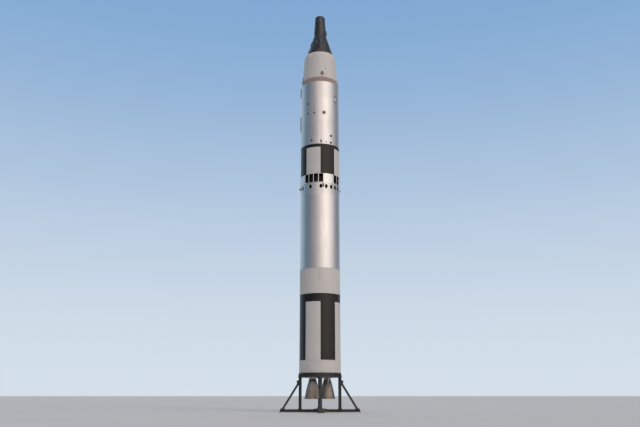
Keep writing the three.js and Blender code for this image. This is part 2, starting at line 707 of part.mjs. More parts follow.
function buildCabin(capsule) {
  const floor = Z.cabin + CABIN.floorT;
  const ceiling = Z.control - CABIN.floorT;
  const outer = turned([[0, Z.cabin], [CABIN.baseR, Z.cabin], [CABIN.topR, Z.control], [0, Z.control]]);
  const hollow = turned([
    [0, floor],
    [cabinInnerR(floor), floor],
    [cabinInnerR(ceiling), ceiling],
    [0, ceiling],
  ]);
  const wall = outer.subtract(hollow);
  const through = (outline, side) => pushed(outline, -300, 200, hatchPlace(side));
  const doorways = [-1, 1].map((side) => through(hatchOutline(0), side));
  const hinges = [-1, 1].map(hingePieces);
  const pins = hinges.flatMap(({ onShell }) => onShell).map((pin) => pin.subtract(hollow));
  addPiece(capsule, 'cabin_shell', joined([cut(wall, doorways), ...pins]), charcoal);

  ['left', 'right'].forEach((name, i) => {
    const side = i ? 1 : -1;
    const panel = wall.intersect(through(hatchOutline(-HATCH_GAP), side));
    const opening = through(windowOutline(0), side);
    const hatch = joined([panel.subtract(opening), ...hinges[i].onHatch]);
    addPiece(capsule, `hatch_${name}`, cut(hatch, hinges[i].bores), charcoal);
    const pane = pushed(windowOutline(-FIT), PANE.inside, PANE.outside, hatchPlace(side));
    addPiece(capsule, `hatch_pane_${name}`, pane, glass);
  });

  const inside = section('cabin_inside', HATCH.middle);
  const seatOutline = new THREE.Shape(SEAT_OUTLINE.map(([y, z]) => new THREE.Vector2(y, z)));
  const sideways = new THREE.Matrix4().makeBasis(
    new THREE.Vector3(0, 1, 0),
    new THREE.Vector3(0, 0, 1),
    new THREE.Vector3(1, 0, 0),
  );
  [['left', -SEAT.x], ['right', SEAT.x]].forEach(([name, x]) => {
    const seat = pushed(seatOutline, x - SEAT.width / 2, x + SEAT.width / 2, sideways);
    addPiece(inside, `seat_${name}`, seat, seatCloth);
  });
  const panelTop = PANEL.z + PANEL.thickness;
  const shelf = turned([
    [0, PANEL.z],
    [cabinInnerR(PANEL.z) - FIT, PANEL.z],
    [cabinInnerR(panelTop) - FIT, panelTop],
    [0, panelTop],
  ]);
  const hatchward = new THREE.Matrix4().makeRotationZ(THREE.MathUtils.degToRad(HATCH.middle));
  const away = block([-1000, -1000, PANEL.z - 10], [1000, PANEL.edge, panelTop + 10], hatchward);
  addPiece(capsule, 'instrument_panel', shelf.subtract(away), charcoal);
}

buildStand();
buildFirstStage();
buildEngine();
buildSecondStage();
buildRaceways();
buildCapsule();

export default rocket;
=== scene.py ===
import math

import bmesh
import bpy
import numpy as np
from mathutils import Matrix, Vector


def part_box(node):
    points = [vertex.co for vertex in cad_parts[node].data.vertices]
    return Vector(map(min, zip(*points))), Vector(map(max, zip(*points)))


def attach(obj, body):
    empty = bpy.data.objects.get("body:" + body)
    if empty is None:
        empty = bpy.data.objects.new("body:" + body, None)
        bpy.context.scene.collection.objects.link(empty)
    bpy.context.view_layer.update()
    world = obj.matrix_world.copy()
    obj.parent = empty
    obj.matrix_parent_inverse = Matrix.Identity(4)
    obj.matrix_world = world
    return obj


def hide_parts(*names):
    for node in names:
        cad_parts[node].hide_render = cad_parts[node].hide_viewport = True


# A two-stage launch rocket with a two-seat crew capsule, on its steel display stand.
# Metres, +Z up, origin on the floor under the rocket's axis.
# An angle round the body is in degrees, from -Y (the front) towards +X (the right).
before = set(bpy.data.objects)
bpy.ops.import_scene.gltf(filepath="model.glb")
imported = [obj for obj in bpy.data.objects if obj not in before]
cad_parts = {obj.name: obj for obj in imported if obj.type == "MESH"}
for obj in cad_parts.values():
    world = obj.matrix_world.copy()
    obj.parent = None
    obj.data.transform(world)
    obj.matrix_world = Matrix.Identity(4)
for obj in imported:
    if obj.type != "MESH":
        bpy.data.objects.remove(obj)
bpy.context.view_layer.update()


# Camera: the photograph's, at chest height and 51 m from the rocket, tilted up. The rocket stands in the
# middle of the frame, with the nose that the photograph cuts off.
def add_object(name, data):
    made = bpy.data.objects.new(name, data)
    bpy.context.scene.collection.objects.link(made)
    return made


CAMERA_DISTANCE, CAMERA_HEIGHT = 51.4, 1.2
CAMERA_TURN, CAMERA_PITCH = math.radians(-1.5), math.radians(14.945)
FOCAL_PIXELS, IMAGE_WIDTH, SENSOR_WIDTH = 680, 640, 36.0
camera_data = bpy.data.cameras.new("photo_camera")
camera_data.sensor_width = SENSOR_WIDTH
camera_data.lens = FOCAL_PIXELS * SENSOR_WIDTH / IMAGE_WIDTH
camera = add_object("photo_camera", camera_data)
camera.location = (
    CAMERA_DISTANCE * math.sin(CAMERA_TURN), -CAMERA_DISTANCE * math.cos(CAMERA_TURN), CAMERA_HEIGHT,
)
camera.rotation_euler = (math.pi / 2 + CAMERA_PITCH, 0, CAMERA_TURN)
bpy.context.scene.camera = camera


# Light: a wide soft studio round the rocket, warm and bright at the right of the camera, darker at its
# left and pale behind the rocket, as a low evening sky is. A soft lamp on the bright side gives the
# shadows.
class Wire:
    """A value or colour in a shader. Arithmetic on it adds Math nodes, and node() adds any other kind."""

    def __init__(self, tree, socket=None):
        self.tree = tree
        self.socket = socket

    def node(self, kind, settings=None, inputs=None, output=0):
        made = self.tree.nodes.new("ShaderNode" + kind)
        for name, value in (settings or {}).items():
            if name == "stops":
                self.set_stops(made.color_ramp, value)
            else:
                setattr(made, name, value)
        for name, value in (inputs or {}).items():
            socket = made.inputs[name]
            if isinstance(value, Wire):
                self.tree.links.new(value.socket, socket)
            elif socket.type == "RGBA":
                socket.default_value = (*value, 1)
            else:
                socket.default_value = value
        return Wire(self.tree, made.outputs[output] if made.outputs else None)

    @staticmethod
    def set_stops(ramp, stops):
        first, *middle, last = stops
        for element, (place, colour) in zip(ramp.elements, (first, last)):
            element.position = place
            element.color = (*colour, 1)
        for place, colour in middle:
            ramp.elements.new(place).color = (*colour, 1)

    def maths(self, operation, *values):
        return self.node("Math", {"operation": operation}, dict(enumerate((self, *values))))

    def __add__(self, other):
        return self.maths("ADD", other)

    def __mul__(self, other):
        return self.maths("MULTIPLY", other)

    def __sub__(self, other):
        return self.maths("SUBTRACT", other)

    def __rsub__(self, other):
        return self * -1 + other

    def __truediv__(self, other):
        return self.maths("DIVIDE", other)

    __radd__ = __add__
    __rmul__ = __mul__

    def between(self, low, high):
        """0 below low, 1 above high, and smooth between them."""
        limits = {"Value": self, "From Min": low, "From Max": high}
        return self.node("MapRange", {"interpolation_type": "SMOOTHSTEP"}, limits)

    def blend(self, first, second):
        """The first colour where this is 0, the second where it is 1."""
        return self.node("Mix", {"data_type": "RGBA"}, {0: self, 6: first, 7: second}, 2)

    def axis(self, name):
        return self.node("SeparateXYZ", inputs={0: self}, output=name)

    def stretched(self, x, y, z):
        return self.node("VectorMath", {"operation": "MULTIPLY"}, {0: self, 1: (x, y, z)})

    def noise(self, scale, detail=4.0):
        return self.node("TexNoise", inputs={"Vector": self, "Scale": scale, "Detail": detail})

    def bumps(self, strength, distance):
        """The surface's direction where this is its height."""
        return self.node("Bump", inputs={"Strength": strength, "Distance": distance, "Height": self})


def turn_of(place):
    """The angle round the vertical axis, from -Y towards +X, from -pi to pi."""
    return place.axis("X").maths("ARCTAN2", place.axis("Y") * -1)


STUDIO = [  # angle round from the camera's side, light from there
    (-180, (0.70, 0.74, 0.80)),
    (-120, (0.34, 0.50, 0.66)),
    (-90, (0.09, 0.17, 0.25)),
    (-60, (0.18, 0.21, 0.26)),
    (-28, (0.44, 0.39, 0.40)),
    (3, (1.00, 0.87, 0.79)),
    (34, (1.68, 1.50, 1.36)),
    (64, (1.08, 0.98, 0.92)),
    (92, (0.42, 0.40, 0.42)),
    (120, (0.14, 0.21, 0.29)),
    (150, (0.46, 0.51, 0.58)),
    (180, (0.70, 0.74, 0.80)),
]
OVERHEAD, BACKDROP_LOW, BACKDROP_HIGH = (0.42, 0.50, 0.62), (0.66, 0.74, 0.82), (0.21, 0.39, 0.65)
world = bpy.data.worlds.new("studio")
bpy.context.scene.world = world
world.use_nodes = True
world.node_tree.nodes.clear()
sky = Wire(world.node_tree)
direction = sky.node("TexCoord", output="Generated")
height = direction.axis("Z")
share = turn_of(direction) / math.tau + 0.5
stops = [(turn / 360 + 0.5, colour) for turn, colour in STUDIO]
studio = share.node("ValToRGB", {"stops": stops}, {"Fac": share})
studio = (height.between(0.45, 0.95) * 0.5).blend(studio, OVERHEAD)
backdrop = height.between(-0.02, 0.6).blend(BACKDROP_LOW, BACKDROP_HIGH)
seen = sky.node("LightPath", output="Is Camera Ray")
light = sky.node("Background", inputs={"Color": seen.blend(studio, backdrop)})
sky.node("OutputWorld", inputs={"Surface": light})

LAMP_TURN, LAMP_HEIGHT, LAMP_SPREAD = math.radians(38), math.radians(26), math.radians(14)
lamp_data = bpy.data.lights.new("soft_lamp", "SUN")
lamp_data.energy = 0.35
lamp_data.angle = LAMP_SPREAD
lamp_data.color = (1.0, 0.92, 0.82)
lamp = add_object("soft_lamp", lamp_data)
lamp.rotation_euler = (math.pi / 2 - LAMP_HEIGHT, 0, LAMP_TURN)
lamp.visible_glossy = False
bpy.context.scene.view_settings.view_transform = "Standard"


# Floor: plain pale concrete under the stand, which takes the shadows. It is so wide that its edge is the
# horizon.
def finish(name):
    """Makes a material of the function under it, which gives the sockets' values for a place."""

    def make(shade):
        material = bpy.data.materials.new(name)
        material.use_nodes = True
        tree = material.node_tree
        tree.nodes.clear()
        start = Wire(tree)
        surface = start.node("BsdfPrincipled", inputs=shade(start.node("TexCoord", output="Object")))
        start.node("OutputMaterial", inputs={"Surface": surface})
        return material

    return make


def mottled(name, scale, first, second, roughness, metallic=0.0, swing=0.0, squeeze=1.0, detail=4.0):
    """A finish whose tone drifts between two colours, in streaks if squeezed. Its roughness may follow."""

    def shade(place):
        tone = (place if squeeze == 1.0 else place.stretched(1, 1, squeeze)).noise(scale, detail)
        return {
            "Base Color": tone.blend(first, second),
            "Roughness": roughness + tone * swing if swing else roughness,
            "Metallic": metallic,
        }

    return finish(name)(shade)


FLOOR_REACH = 700
floor_mesh = bpy.data.meshes.new("floor")
floor_corners = [(x * FLOOR_REACH, y * FLOOR_REACH, 0) for x, y in ((-1, -1), (1, -1), (1, 1), (-1, 1))]
floor_mesh.from_pydata(floor_corners, [], [(0, 1, 2, 3)])
floor_mesh.materials.append(mottled("pale_floor", 0.25, (0.68, 0.67, 0.65), (0.75, 0.74, 0.72), 0.85))
floor = add_object("floor", floor_mesh)


# Stand: welded of rolled steel sections and plates, bolted together, and painted a dull near-black. Two
# crossed beams lie on foot pads with anchor bolts, and meet in a round hub.
@finish("dark_steel_paint")
def steel_paint(place):
    wear = place.noise(3.1, 8.0).between(0.60, 0.72)
    dust = place.axis("Z").between(0.5, 0.0) * 0.35
    paint = place.noise(1.3).blend((0.020, 0.022, 0.026), (0.032, 0.034, 0.038))
    return {
        "Base Color": dust.blend((wear * 0.35).blend(paint, (0.10, 0.065, 0.045)), (0.16, 0.14, 0.12)),
        "Roughness": 0.42 + wear * 0.25 + dust * 0.4,
        "Normal": place.noise(60.0).bumps(0.25, 0.002),
    }


def shift(x, y, z):
    return Matrix.Translation((x, y, z))


def spin(degrees, axis="Z"):
    return Matrix.Rotation(math.radians(degrees), 4, axis)


def on_wall(turn, radius, z, lean=0.0):
    """A place on a round wall: x runs round it, y up it and z out of it. A positive lean tips it back."""
    return spin(turn) @ shift(0, -radius, z) @ Matrix.Rotation(math.pi / 2 - lean, 4, "X")


def joined(*shapes):
    """One shape of several. A shape is a list of corners and a list of faces, and is closed."""
    corners, faces = [], []
    for part_corners, part_faces in shapes:
        first = len(corners)
        corners += part_corners
        faces += [tuple(first + i for i in face) for face in part_faces]
    return corners, faces


def placed(place, *shapes):
    """Shapes joined and moved to a place."""
    corners, faces = joined(*shapes)
    turned = np.array([(*corner, 1.0) for corner in corners]) @ np.array(place).T
    return [tuple(corner) for corner in turned[:, :3]], faces


def round_axis(turns, *shapes):
    """Copies of shapes, turned round the rocket's axis."""
    return joined(*(placed(spin(turn), *shapes) for turn in turns))


def every(count, first=0.0):
    """Evenly spaced angles all round."""
    return [first + 360 * k / count for k in range(count)]


def lofted(rings, closed=False):
    """A skin over rings of points, with flat ends unless it closes on itself."""
    count = len(rings[0])
    corners = [tuple(point) for ring in rings for point in ring]
    faces = []
    for k in range(len(rings) if closed else len(rings) - 1):
        first, second = k * count, (k + 1) % len(rings) * count
        for i in range(count):
            after = (i + 1) % count
            faces.append((first + i, first + after, second + after, second + i))
    if not closed:
        faces += [tuple(range(count)), tuple(range(len(corners) - count, len(corners)))]
    return corners, faces


def prism(outline, low, high):
    """A flat outline pushed along z."""
    return lofted([[(x, y, z) for x, y in outline] for z in (low, high)])


def block(low, high):
    (x, y, z), (far_x, far_y, far_z) = low, high
    return prism([(x, y), (far_x, y), (far_x, far_y), (x, far_y)], z, far_z)


def slab(width, length, low, high, x=0.0, y=0.0):
    """A block round the upright line through (x, y)."""
    return block((x - width / 2, y - length / 2, low), (x + width / 2, y + length / 2, high))


def around(radius, turn, z):
    """The point at an angle in radians round the axis."""
    return radius * math.sin(turn), -radius * math.cos(turn), z


def lathe(outline, facets):
    """An outline of (radius, height) points turned round the axis. It starts and ends there, or closes."""
    corners, rings = [], []
    for radius, z in outline:
        first = len(corners)
        if radius < 1e-6:
            corners.append((0, 0, z))
            rings.append([first] * facets)
        else:
            corners += [around(radius, math.tau * k / facets, z) for k in range(facets)]
            rings.append(list(range(first, first + facets)))
    on_axis = outline[0][0] < 1e-6 and outline[-1][0] < 1e-6
    faces = []
    for below, above in zip(rings, rings[1:] if on_axis else rings[1:] + rings[:1]):
        for k in range(facets):
            after = (k + 1) % facets
            faces.append(tuple(dict.fromkeys((below[k], below[after], above[after], above[k]))))
    return corners, faces


def collar(inner, outer, low, high, facets):
    """A round band of square section, or a disc if its inner radius is 0."""
    return lathe([(inner, low), (outer, low), (outer, high), (inner, high)], facets)


def bolt(radius):
    """A hexagonal head on its washer, standing on z = 0."""
    return joined(collar(0, 1.6 * radius, 0, 0.3 * radius, 12), collar(0, radius, 0.3 * radius, radius, 6))


def corner_bolts(size, half_x, half_y, y, z):
    """Four bolts near the corners of a plate round (0, y)."""
    return [placed(shift(i * half_x, y + j * half_y, z), bolt(size)) for i in SIGNS for j in SIGNS]


def turn_outward(mesh):
    """Faces of closed shapes look outward."""
    faced = bmesh.new()
    faced.from_mesh(mesh)
    bmesh.ops.recalc_face_normals(faced, faces=faced.faces)
    faced.to_mesh(mesh)
    faced.free()


def piece(name, parts, node=None, body="airframe", bevel=0.0, sharp=35):
    """One object from rows of (material, shape, ...), its body and the node it stands for."""
    rows = [(material, shape) for material, *shapes in parts for shape in shapes]
    mesh = bpy.data.meshes.new(name)
    corners, faces = joined(*(shape for _, shape in rows))
    mesh.from_pydata(corners, [], faces)
    materials = list(dict.fromkeys(material for material, _ in rows))
    for material in materials:
        mesh.materials.append(material)
    indices = [materials.index(material) for material, shape in rows for _ in shape[1]]
    mesh.polygons.foreach_set("material_index", indices)
    mesh.polygons.foreach_set("use_smooth", [True] * len(faces))
    mesh.validate()
    turn_outward(mesh)
    mesh.set_sharp_from_angle(angle=math.radians(sharp))
    made = add_object(name, mesh)
    if bevel:
        softened = made.modifiers.new("bevel", "BEVEL")
        softened.width = bevel
        softened.segments = 2
        softened.limit_method = "ANGLE"
        softened.angle_limit = math.radians(50)
        softened.harden_normals = True
    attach(made, body)
    if node:
        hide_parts(node)
    return made


def h_section(width, depth, flange, web):
    """The outline of a rolled H-beam, with its web upright."""
    x, y, inner, half_web = width / 2, depth / 2, depth / 2 - flange, web / 2
    right = [(x, -y), (x, -inner), (half_web, -inner), (half_web, inner), (x, inner), (x, y)]
    return right + [(-a, -b) for a, b in right]


bolt_metal = mottled("galvanised_bolts", 40.0, (0.30, 0.31, 0.32), (0.44, 0.45, 0.46), 0.38, 0.9, swing=0.25)
BEAM_REACH, BEAM_WIDTH, BEAM_TOP, BEAM_FLANGE, BEAM_WEB, BEAM_START = 2.90, 0.24, 0.20, 0.018, 0.012, 0.3
HUB_R, HUB_TOP = 0.48, 0.23
PAD_R, PAD_SIZE, PAD_TOP = 2.72, 0.46, 0.06
POST_R, RIB_HALF = 1.45, 0.006
QUARTERS, SIGNS = (0, 90, 180, 270), (-1, 1)
beam = placed(
    shift(0, 0, BEAM_TOP / 2) @ on_wall(0, 0, 0),
    prism(h_section(BEAM_WIDTH, BEAM_TOP, BEAM_FLANGE, BEAM_WEB), BEAM_START, BEAM_REACH),
)
rib_width = (BEAM_WIDTH - BEAM_WEB) / 2
ribs = [
    slab(rib_width, 2 * RIB_HALF, BEAM_FLANGE, BEAM_TOP - BEAM_FLANGE, side * (BEAM_WEB + rib_width) / 2, -r)
    for side in SIGNS
    for r in (0.9, POST_R - 0.1, POST_R + 0.1, 2.1, PAD_R - 0.06, PAD_R + 0.06, BEAM_REACH - RIB_HALF)
]
hub = lathe([(0, 0), (HUB_R, 0), (HUB_R, HUB_TOP - 0.01), (HUB_R - 0.01, HUB_TOP), (0, HUB_TOP)], 64)
piece(
    "stand_floor_frame",
    [
        (
            steel_paint, round_axis(QUARTERS, beam, *ribs),
            round_axis(QUARTERS, slab(PAD_SIZE, PAD_SIZE, 0, PAD_TOP, y=-PAD_R)), hub,
        ),
        (
            bolt_metal, round_axis(QUARTERS, *corner_bolts(0.022, 0.178, 0.17, -PAD_R, PAD_TOP)),
            round_axis(every(16, 11.25), placed(shift(0, 0.07 - HUB_R, HUB_TOP), bolt(0.024))),
        ),
    ],
    "stand_base", bevel=0.003,
)

# Legs: an upright post of rolled section on a base plate, and a splayed square tube that braces it from
# the beam's end. Gussets stiffen both plates.
POST_WIDTH, POST_PLATE, POST_PLATE_TOP, CAP_THICKNESS = 0.22, 0.32, BEAM_TOP + 0.03, 0.025
BRACE_WIDTH, BRACE_TOP, BRACE_PLATE, BRACE_PLATE_TOP = 0.15, 2.23, 0.34, BEAM_TOP + 0.04
KNEE = [(0, 0), (0.10, 0), (0.16, 0.30), (0.05, 0.38), (0, 0.38)]


def heights(node):
    """The lowest and the highest z of a CAD node."""
    return [corner.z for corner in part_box(node)]


def gusset(width, height):
    """A triangular stiffener, standing on y = 0 against x = 0."""
    return prism([(0, 0), (width, 0), (width, 0.02), (0.02, height), (0, height)], -0.006, 0.006)


ring_low, ring_high = heights("stand_ring")
foot, head = Vector((0, -PAD_R, BEAM_TOP)), Vector((0, -POST_R, BRACE_TOP))
along = head - foot
tilt = Matrix.Translation(foot) @ Matrix.Rotation(-math.atan2(along.y, along.z), 4, "X")
leg_steel = [
    placed(shift(0, -POST_R, 0), prism(h_section(POST_WIDTH, POST_WIDTH, 0.016, 0.011), BEAM_TOP, ring_low)),
    slab(POST_PLATE, POST_PLATE, BEAM_TOP, POST_PLATE_TOP, y=-POST_R),
    slab(POST_PLATE, POST_PLATE, ring_low - CAP_THICKNESS, ring_low, y=-POST_R),
    placed(tilt, slab(BRACE_WIDTH, BRACE_WIDTH, 0.01, along.length)),
    slab(BRACE_PLATE, BRACE_PLATE, BEAM_TOP, BRACE_PLATE_TOP, y=-PAD_R),
]
for side in SIGNS:
    for out in (-0.09, 0.0, 0.09):
        corner = shift(side * 0.11, out - POST_R, POST_PLATE_TOP) @ spin(90 - 90 * side) @ spin(90, "X")
        leg_steel.append(placed(corner, gusset(0.048, 0.14)))
    knee_spot = shift(side * 0.082, -POST_R - 0.11, BRACE_TOP - 0.35) @ spin(-90) @ spin(90, "X")
    leg_steel.append(placed(knee_spot, prism(KNEE, -0.007, 0.007)))
leg_bolts = [
    *corner_bolts(0.018, 0.135, 0.135, -POST_R, POST_PLATE_TOP),
    *corner_bolts(0.018, 0.13, 0.13, -PAD_R, BRACE_PLATE_TOP),
]
for side, turn in zip(("front", "right", "back", "left"), QUARTERS):
    piece(
        f"stand_leg_{side}_steelwork",
        [(steel_paint, round_axis([turn], *leg_steel)), (bolt_metal, round_axis([turn], *leg_bolts))],
        f"stand_leg_{side}", bevel=0.003,
    )

# The ring that the rocket sits on: a rolled band on a wide flange, painted as the stand is, with ribs
# between them and a bolt between each two ribs.
FINE = 160  # flats round the body
FLANGE_R, FLANGE_TOP, RING_R, RING_INNER_R, STEP = 1.61, ring_low + 0.04, 1.545, 1.32, 0.006
ring_outline = [
    (RING_INNER_R, ring_low), (FLANGE_R - STEP, ring_low), (FLANGE_R, ring_low + STEP),
    (FLANGE_R, FLANGE_TOP - STEP), (FLANGE_R - STEP, FLANGE_TOP), (RING_R, FLANGE_TOP),
    (RING_R, ring_high - 0.05), (RING_R + 0.012, ring_high - 0.045), (RING_R + 0.012, ring_high - 0.005),
    (RING_R, ring_high), (RING_INNER_R, ring_high), (RING_INNER_R, ring_high - 0.04),
    (RING_INNER_R + 0.06, ring_high - 0.05), (RING_INNER_R + 0.06, FLANGE_TOP + 0.01),
    (RING_INNER_R, FLANGE_TOP),
]
ring_rib = placed(shift(0, -RING_R, FLANGE_TOP) @ spin(-90) @ spin(90, "X"), gusset(0.058, 0.20))
ring_bolt = placed(shift(0, -(RING_R + FLANGE_R) / 2, FLANGE_TOP), bolt(0.014))
piece(
    "stand_ring_steelwork",
    [
        (steel_paint, lathe(ring_outline, FINE), round_axis(every(40), ring_rib)),
        (bolt_metal, round_axis(every(40, 4.5), ring_bolt)),
    ],
    "stand_ring",
)


# First stage, aft skirt: an open band of riveted sheet over upright stringers and inner ring frames,
# painted white. A splice band with bolts closes it at both ends, and the engine hangs inside it.
def sheets(place, columns, height):
    """A value that changes from one sheet of the skin to the next."""
    column = (turn_of(place) * (columns / math.tau)).maths("FLOOR")
    number = (place.axis("Z") / height).maths("FLOOR") * 31.7 + column
    return number.node("TexWhiteNoise", {"noise_dimensions": "1D"}, {"W": number})


@finish("warm_white_paint")
def white(place):
    streaks = place.stretched(1, 1, 0.05).noise(9.0, 6.0)
    grime = streaks.between(0.50, 0.72) * place.noise(0.8).between(0.40, 0.65)
    tone = sheets(place, 8, 2.4) * 0.15 + place.noise(0.5) * 0.85
    clean = tone.blend((0.54, 0.53, 0.52), (0.63, 0.615, 0.60))
    return {
        "Base Color": (grime * 0.45).blend(clean, (0.36, 0.33, 0.29)),
        "Roughness": 0.40 + grime * 0.3,
        "Normal": place.noise(2.2, 2.0).bumps(0.3, 0.01),
    }


rivet_finish = mottled("rivet_heads", 8.0, (0.34, 0.34, 0.34), (0.52, 0.51, 0.50), 0.4, 0.8)
BODY_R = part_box("aft_skirt")[1].x
SPLICE_HEIGHT, SPLICE_RISE = 0.07, 0.006


def splice(foot):
    """A raised splice band, as its foot, top and rise."""
    return foot, foot + SPLICE_HEIGHT, SPLICE_RISE


def bands(radius, places):
    """Raised bands up an outline."""
    points = []
    for foot, top, rise in places:
        edge = rise / 2
        points += [(radius, foot), (radius + rise, foot + edge), (radius + rise, top - edge), (radius, top)]
    return points


def batten(width, low, high, rise):
    """A low strip up a wall, narrower at its face."""
    corners, faces = block((-width / 2, low, -0.01), (width / 2, high, rise))
    return [(x * (0.6 if z > 0 else 1), y, z) for x, y, z in corners], faces


def rivet(radius):
    crown = [(0.7 * radius, 0.4 * radius), (0, 0.55 * radius)]
    return lathe([(0, -0.002), (radius, -0.002), (radius, 0), *crown], 8)


def round_wall(turns, radius, z, *shapes, lean=0.0):
    """Copies of shapes, standing on a round wall."""
    return round_axis(turns, placed(on_wall(0, radius, z, lean), *shapes))


def rivet_rows(radius, heights, count, size=0.011):
    return joined(*(round_wall(every(count, 1.1), radius, z, rivet(size)) for z in heights))


low, high = heights("aft_skirt")
SKIRT_INNER_R = BODY_R - 0.06
skirt_bands = bands(BODY_R, [splice(low), splice(high - SPLICE_HEIGHT)])
skirt = [(SKIRT_INNER_R, low), *skirt_bands, (SKIRT_INNER_R, high)]
stringer = batten(0.045, low + SPLICE_HEIGHT + 0.02, high - SPLICE_HEIGHT - 0.02, 0.011)
frames = [
    collar(SKIRT_INNER_R - 0.035, SKIRT_INNER_R + 0.005, z, z + 0.05, FINE) for z in (low + 0.06, low + 0.24)
]
piece(
    "aft_skirt_skin",
    [
        (white, lathe(skirt, FINE), *frames, round_wall(every(72, 2.5), BODY_R - 0.001, 0, stringer)),
        (
            rivet_finish, round_wall(every(72), BODY_R + SPLICE_RISE, low + SPLICE_HEIGHT / 2, bolt(0.010)),
            rivet_rows(BODY_R + SPLICE_RISE, [high - SPLICE_HEIGHT / 2], 144),
        ),
    ],
    "aft_skirt",
)


# First stage tanks: the lower tank has black and white fields that show how the rocket rolls, under a
# black ring. Its bare aluminium bottom shows from below. Between the tanks is a white band, stiffened by
# fine stringers. The upper tank is bare sheet with seams and a dome.
@finish("black_paint")
def black(place):
    streaks = place.stretched(1, 1, 0.05).noise(12.0, 6.0)
    chalk = place.noise(1.4).between(0.45, 0.75)
    return {
        "Base Color": (streaks * 0.6 + chalk * 0.4).blend((0.004, 0.0035, 0.0035), (0.020, 0.016, 0.014)),
        "Roughness": 0.26 + streaks * 0.14,
        "Specular IOR Level": 0.4,
        "Normal": place.noise(2.2, 2.0).bumps(0.3, 0.01),
    }


@finish("bare_silver_skin")
def silver(place):
    streaks = place.stretched(1, 1, 0.02).noise(13.0, 8.0)
    tone = sheets(place, 8, 2.01) * 0.4 + streaks * 0.6
    smudge = place.stretched(1, 1, 0.3).noise(1.7, 6.0).between(0.5, 0.8)
    waves = place.stretched(1, 1, 0.35).noise(1.6, 2.0) + streaks * 0.08
    skin = tone.blend((0.60, 0.60, 0.61), (0.84, 0.83, 0.82))
    return {
        "Base Color": (smudge * 0.5).blend(skin, (0.50, 0.49, 0.50)),
        "Metallic": 1.0,
        "Roughness": 0.27 + streaks * 0.16 + smudge * 0.08,
        "Normal": waves.bumps(0.35, 0.03),
    }


FIELD_TURN = 45


def repaint(made, material, chosen):
    """Gives another material to the faces chosen by their middle's radius, turn in degrees and height."""
    slots = made.data.materials
    if material.name not in slots:
        slots.append(material)
    for face in made.data.polygons:
        x, y, z = face.center
        if chosen(math.hypot(x, y), math.degrees(math.atan2(x, -y)), z):
            face.material_index = slots.find(material.name)


def paint_fields(made, ring_foot, barrel_foot):
    """Black and white fields by turns on a barrel, with a black ring over them."""

    def on_barrel(radius, turn, z):
        return radius >= BODY_R - 0.03 and z >= barrel_foot

    def in_black(radius, turn, z):
        return on_barrel(radius, turn, z) and (z > ring_foot or turn // FIELD_TURN % 2 == 0)

    repaint(made, white, on_barrel)
    repaint(made, black, in_black)


def weld(foot):
    """A low weld bead round the body, as its foot, top and rise."""
    return foot, foot + 0.03, 0.003


low, high = heights("lower_tank")
barrel_foot = heights("aft_skirt")[1]
RING_FOOT = 7.86
tank = [
    (0, low), (0.80, low + 0.06), (BODY_R - 0.085, barrel_foot),
    *bands(BODY_R, [(barrel_foot, barrel_foot + 0.05, 0.005), weld(5.3), weld(6.7)]), (BODY_R, RING_FOOT),
    *bands(BODY_R, [splice(high - SPLICE_HEIGHT)]), (0, high),
]
lower_tank = piece("lower_tank_skin", [(silver, lathe(tank, FINE))], "lower_tank")
paint_fields(lower_tank, RING_FOOT, barrel_foot)
tank_rivets = rivet_rows(BODY_R + SPLICE_RISE, [high - SPLICE_HEIGHT / 2, RING_FOOT + 0.06], 120)
piece("lower_tank_fasteners", [(black, tank_rivets)])

RACEWAY_TURN = 172  # the strips that follow leave this place free


def clear_of(turn, places):
    return [angle for angle in places if abs((angle - turn + 180) % 360 - 180) > 6]


low, high = heights("middle_band")
band = lathe([(0, low), *bands(BODY_R, [splice(low), splice(high - SPLICE_HEIGHT)]), (0, high)], FINE)
stringer = batten(0.03, low + 0.12, high - 0.12, 0.006)
band_rivets = [low + SPLICE_HEIGHT / 2, high - SPLICE_HEIGHT / 2]
piece(
    "middle_band_skin",
    [
        (white, band, round_wall(clear_of(RACEWAY_TURN, every(72, 2.5)), BODY_R - 0.001, 0, stringer)),
        (rivet_finish, rivet_rows(BODY_R + SPLICE_RISE, band_rivets, 120)),
    ],
    "middle_band",
)


def curved_plate(start, end, low, high, radius_at, rise, sink=0.01, steps=8):
    """A plate on a round wall from one angle to another. radius_at gives the wall's radius at a height."""
    section = ((-sink, low), (rise, low), (rise, high), (-sink, high))
    angles = [math.radians(start + (end - start) * k / steps) for k in range(steps + 1)]
    return lofted([[around(radius_at(z) + out, angle, z) for out, z in section] for angle in angles])


def wall_plate(turn, width, low, high, rise, radius=BODY_R, steps=8):
    """A curved plate on a straight wall."""
    half = math.degrees(width / radius / 2)
    return curved_plate(turn - half, turn + half, low, high, lambda z: radius, rise, steps=steps)


DOOR_TURNS, DOOR_FOOT, DOOR_TOP, DOOR_WIDTH, DOOR_RISE, DOOR_BOLTS = (62, -118), 8.95, 9.57, 0.46, 0.012, 5
doors = [wall_plate(turn, DOOR_WIDTH, DOOR_FOOT, DOOR_TOP, DOOR_RISE) for turn in DOOR_TURNS]
bolt_turn = math.degrees((DOOR_WIDTH / 2 - 0.03) / BODY_R)
door_bolts = [
    round_wall([turn - bolt_turn, turn + bolt_turn], BODY_R + DOOR_RISE, z, bolt(0.008))
    for turn in DOOR_TURNS
    for z in np.linspace(DOOR_FOOT + 0.04, DOOR_TOP - 0.04, DOOR_BOLTS)
]
piece("middle_band_doors", [(white, *doors), (rivet_finish, *door_bolts)])

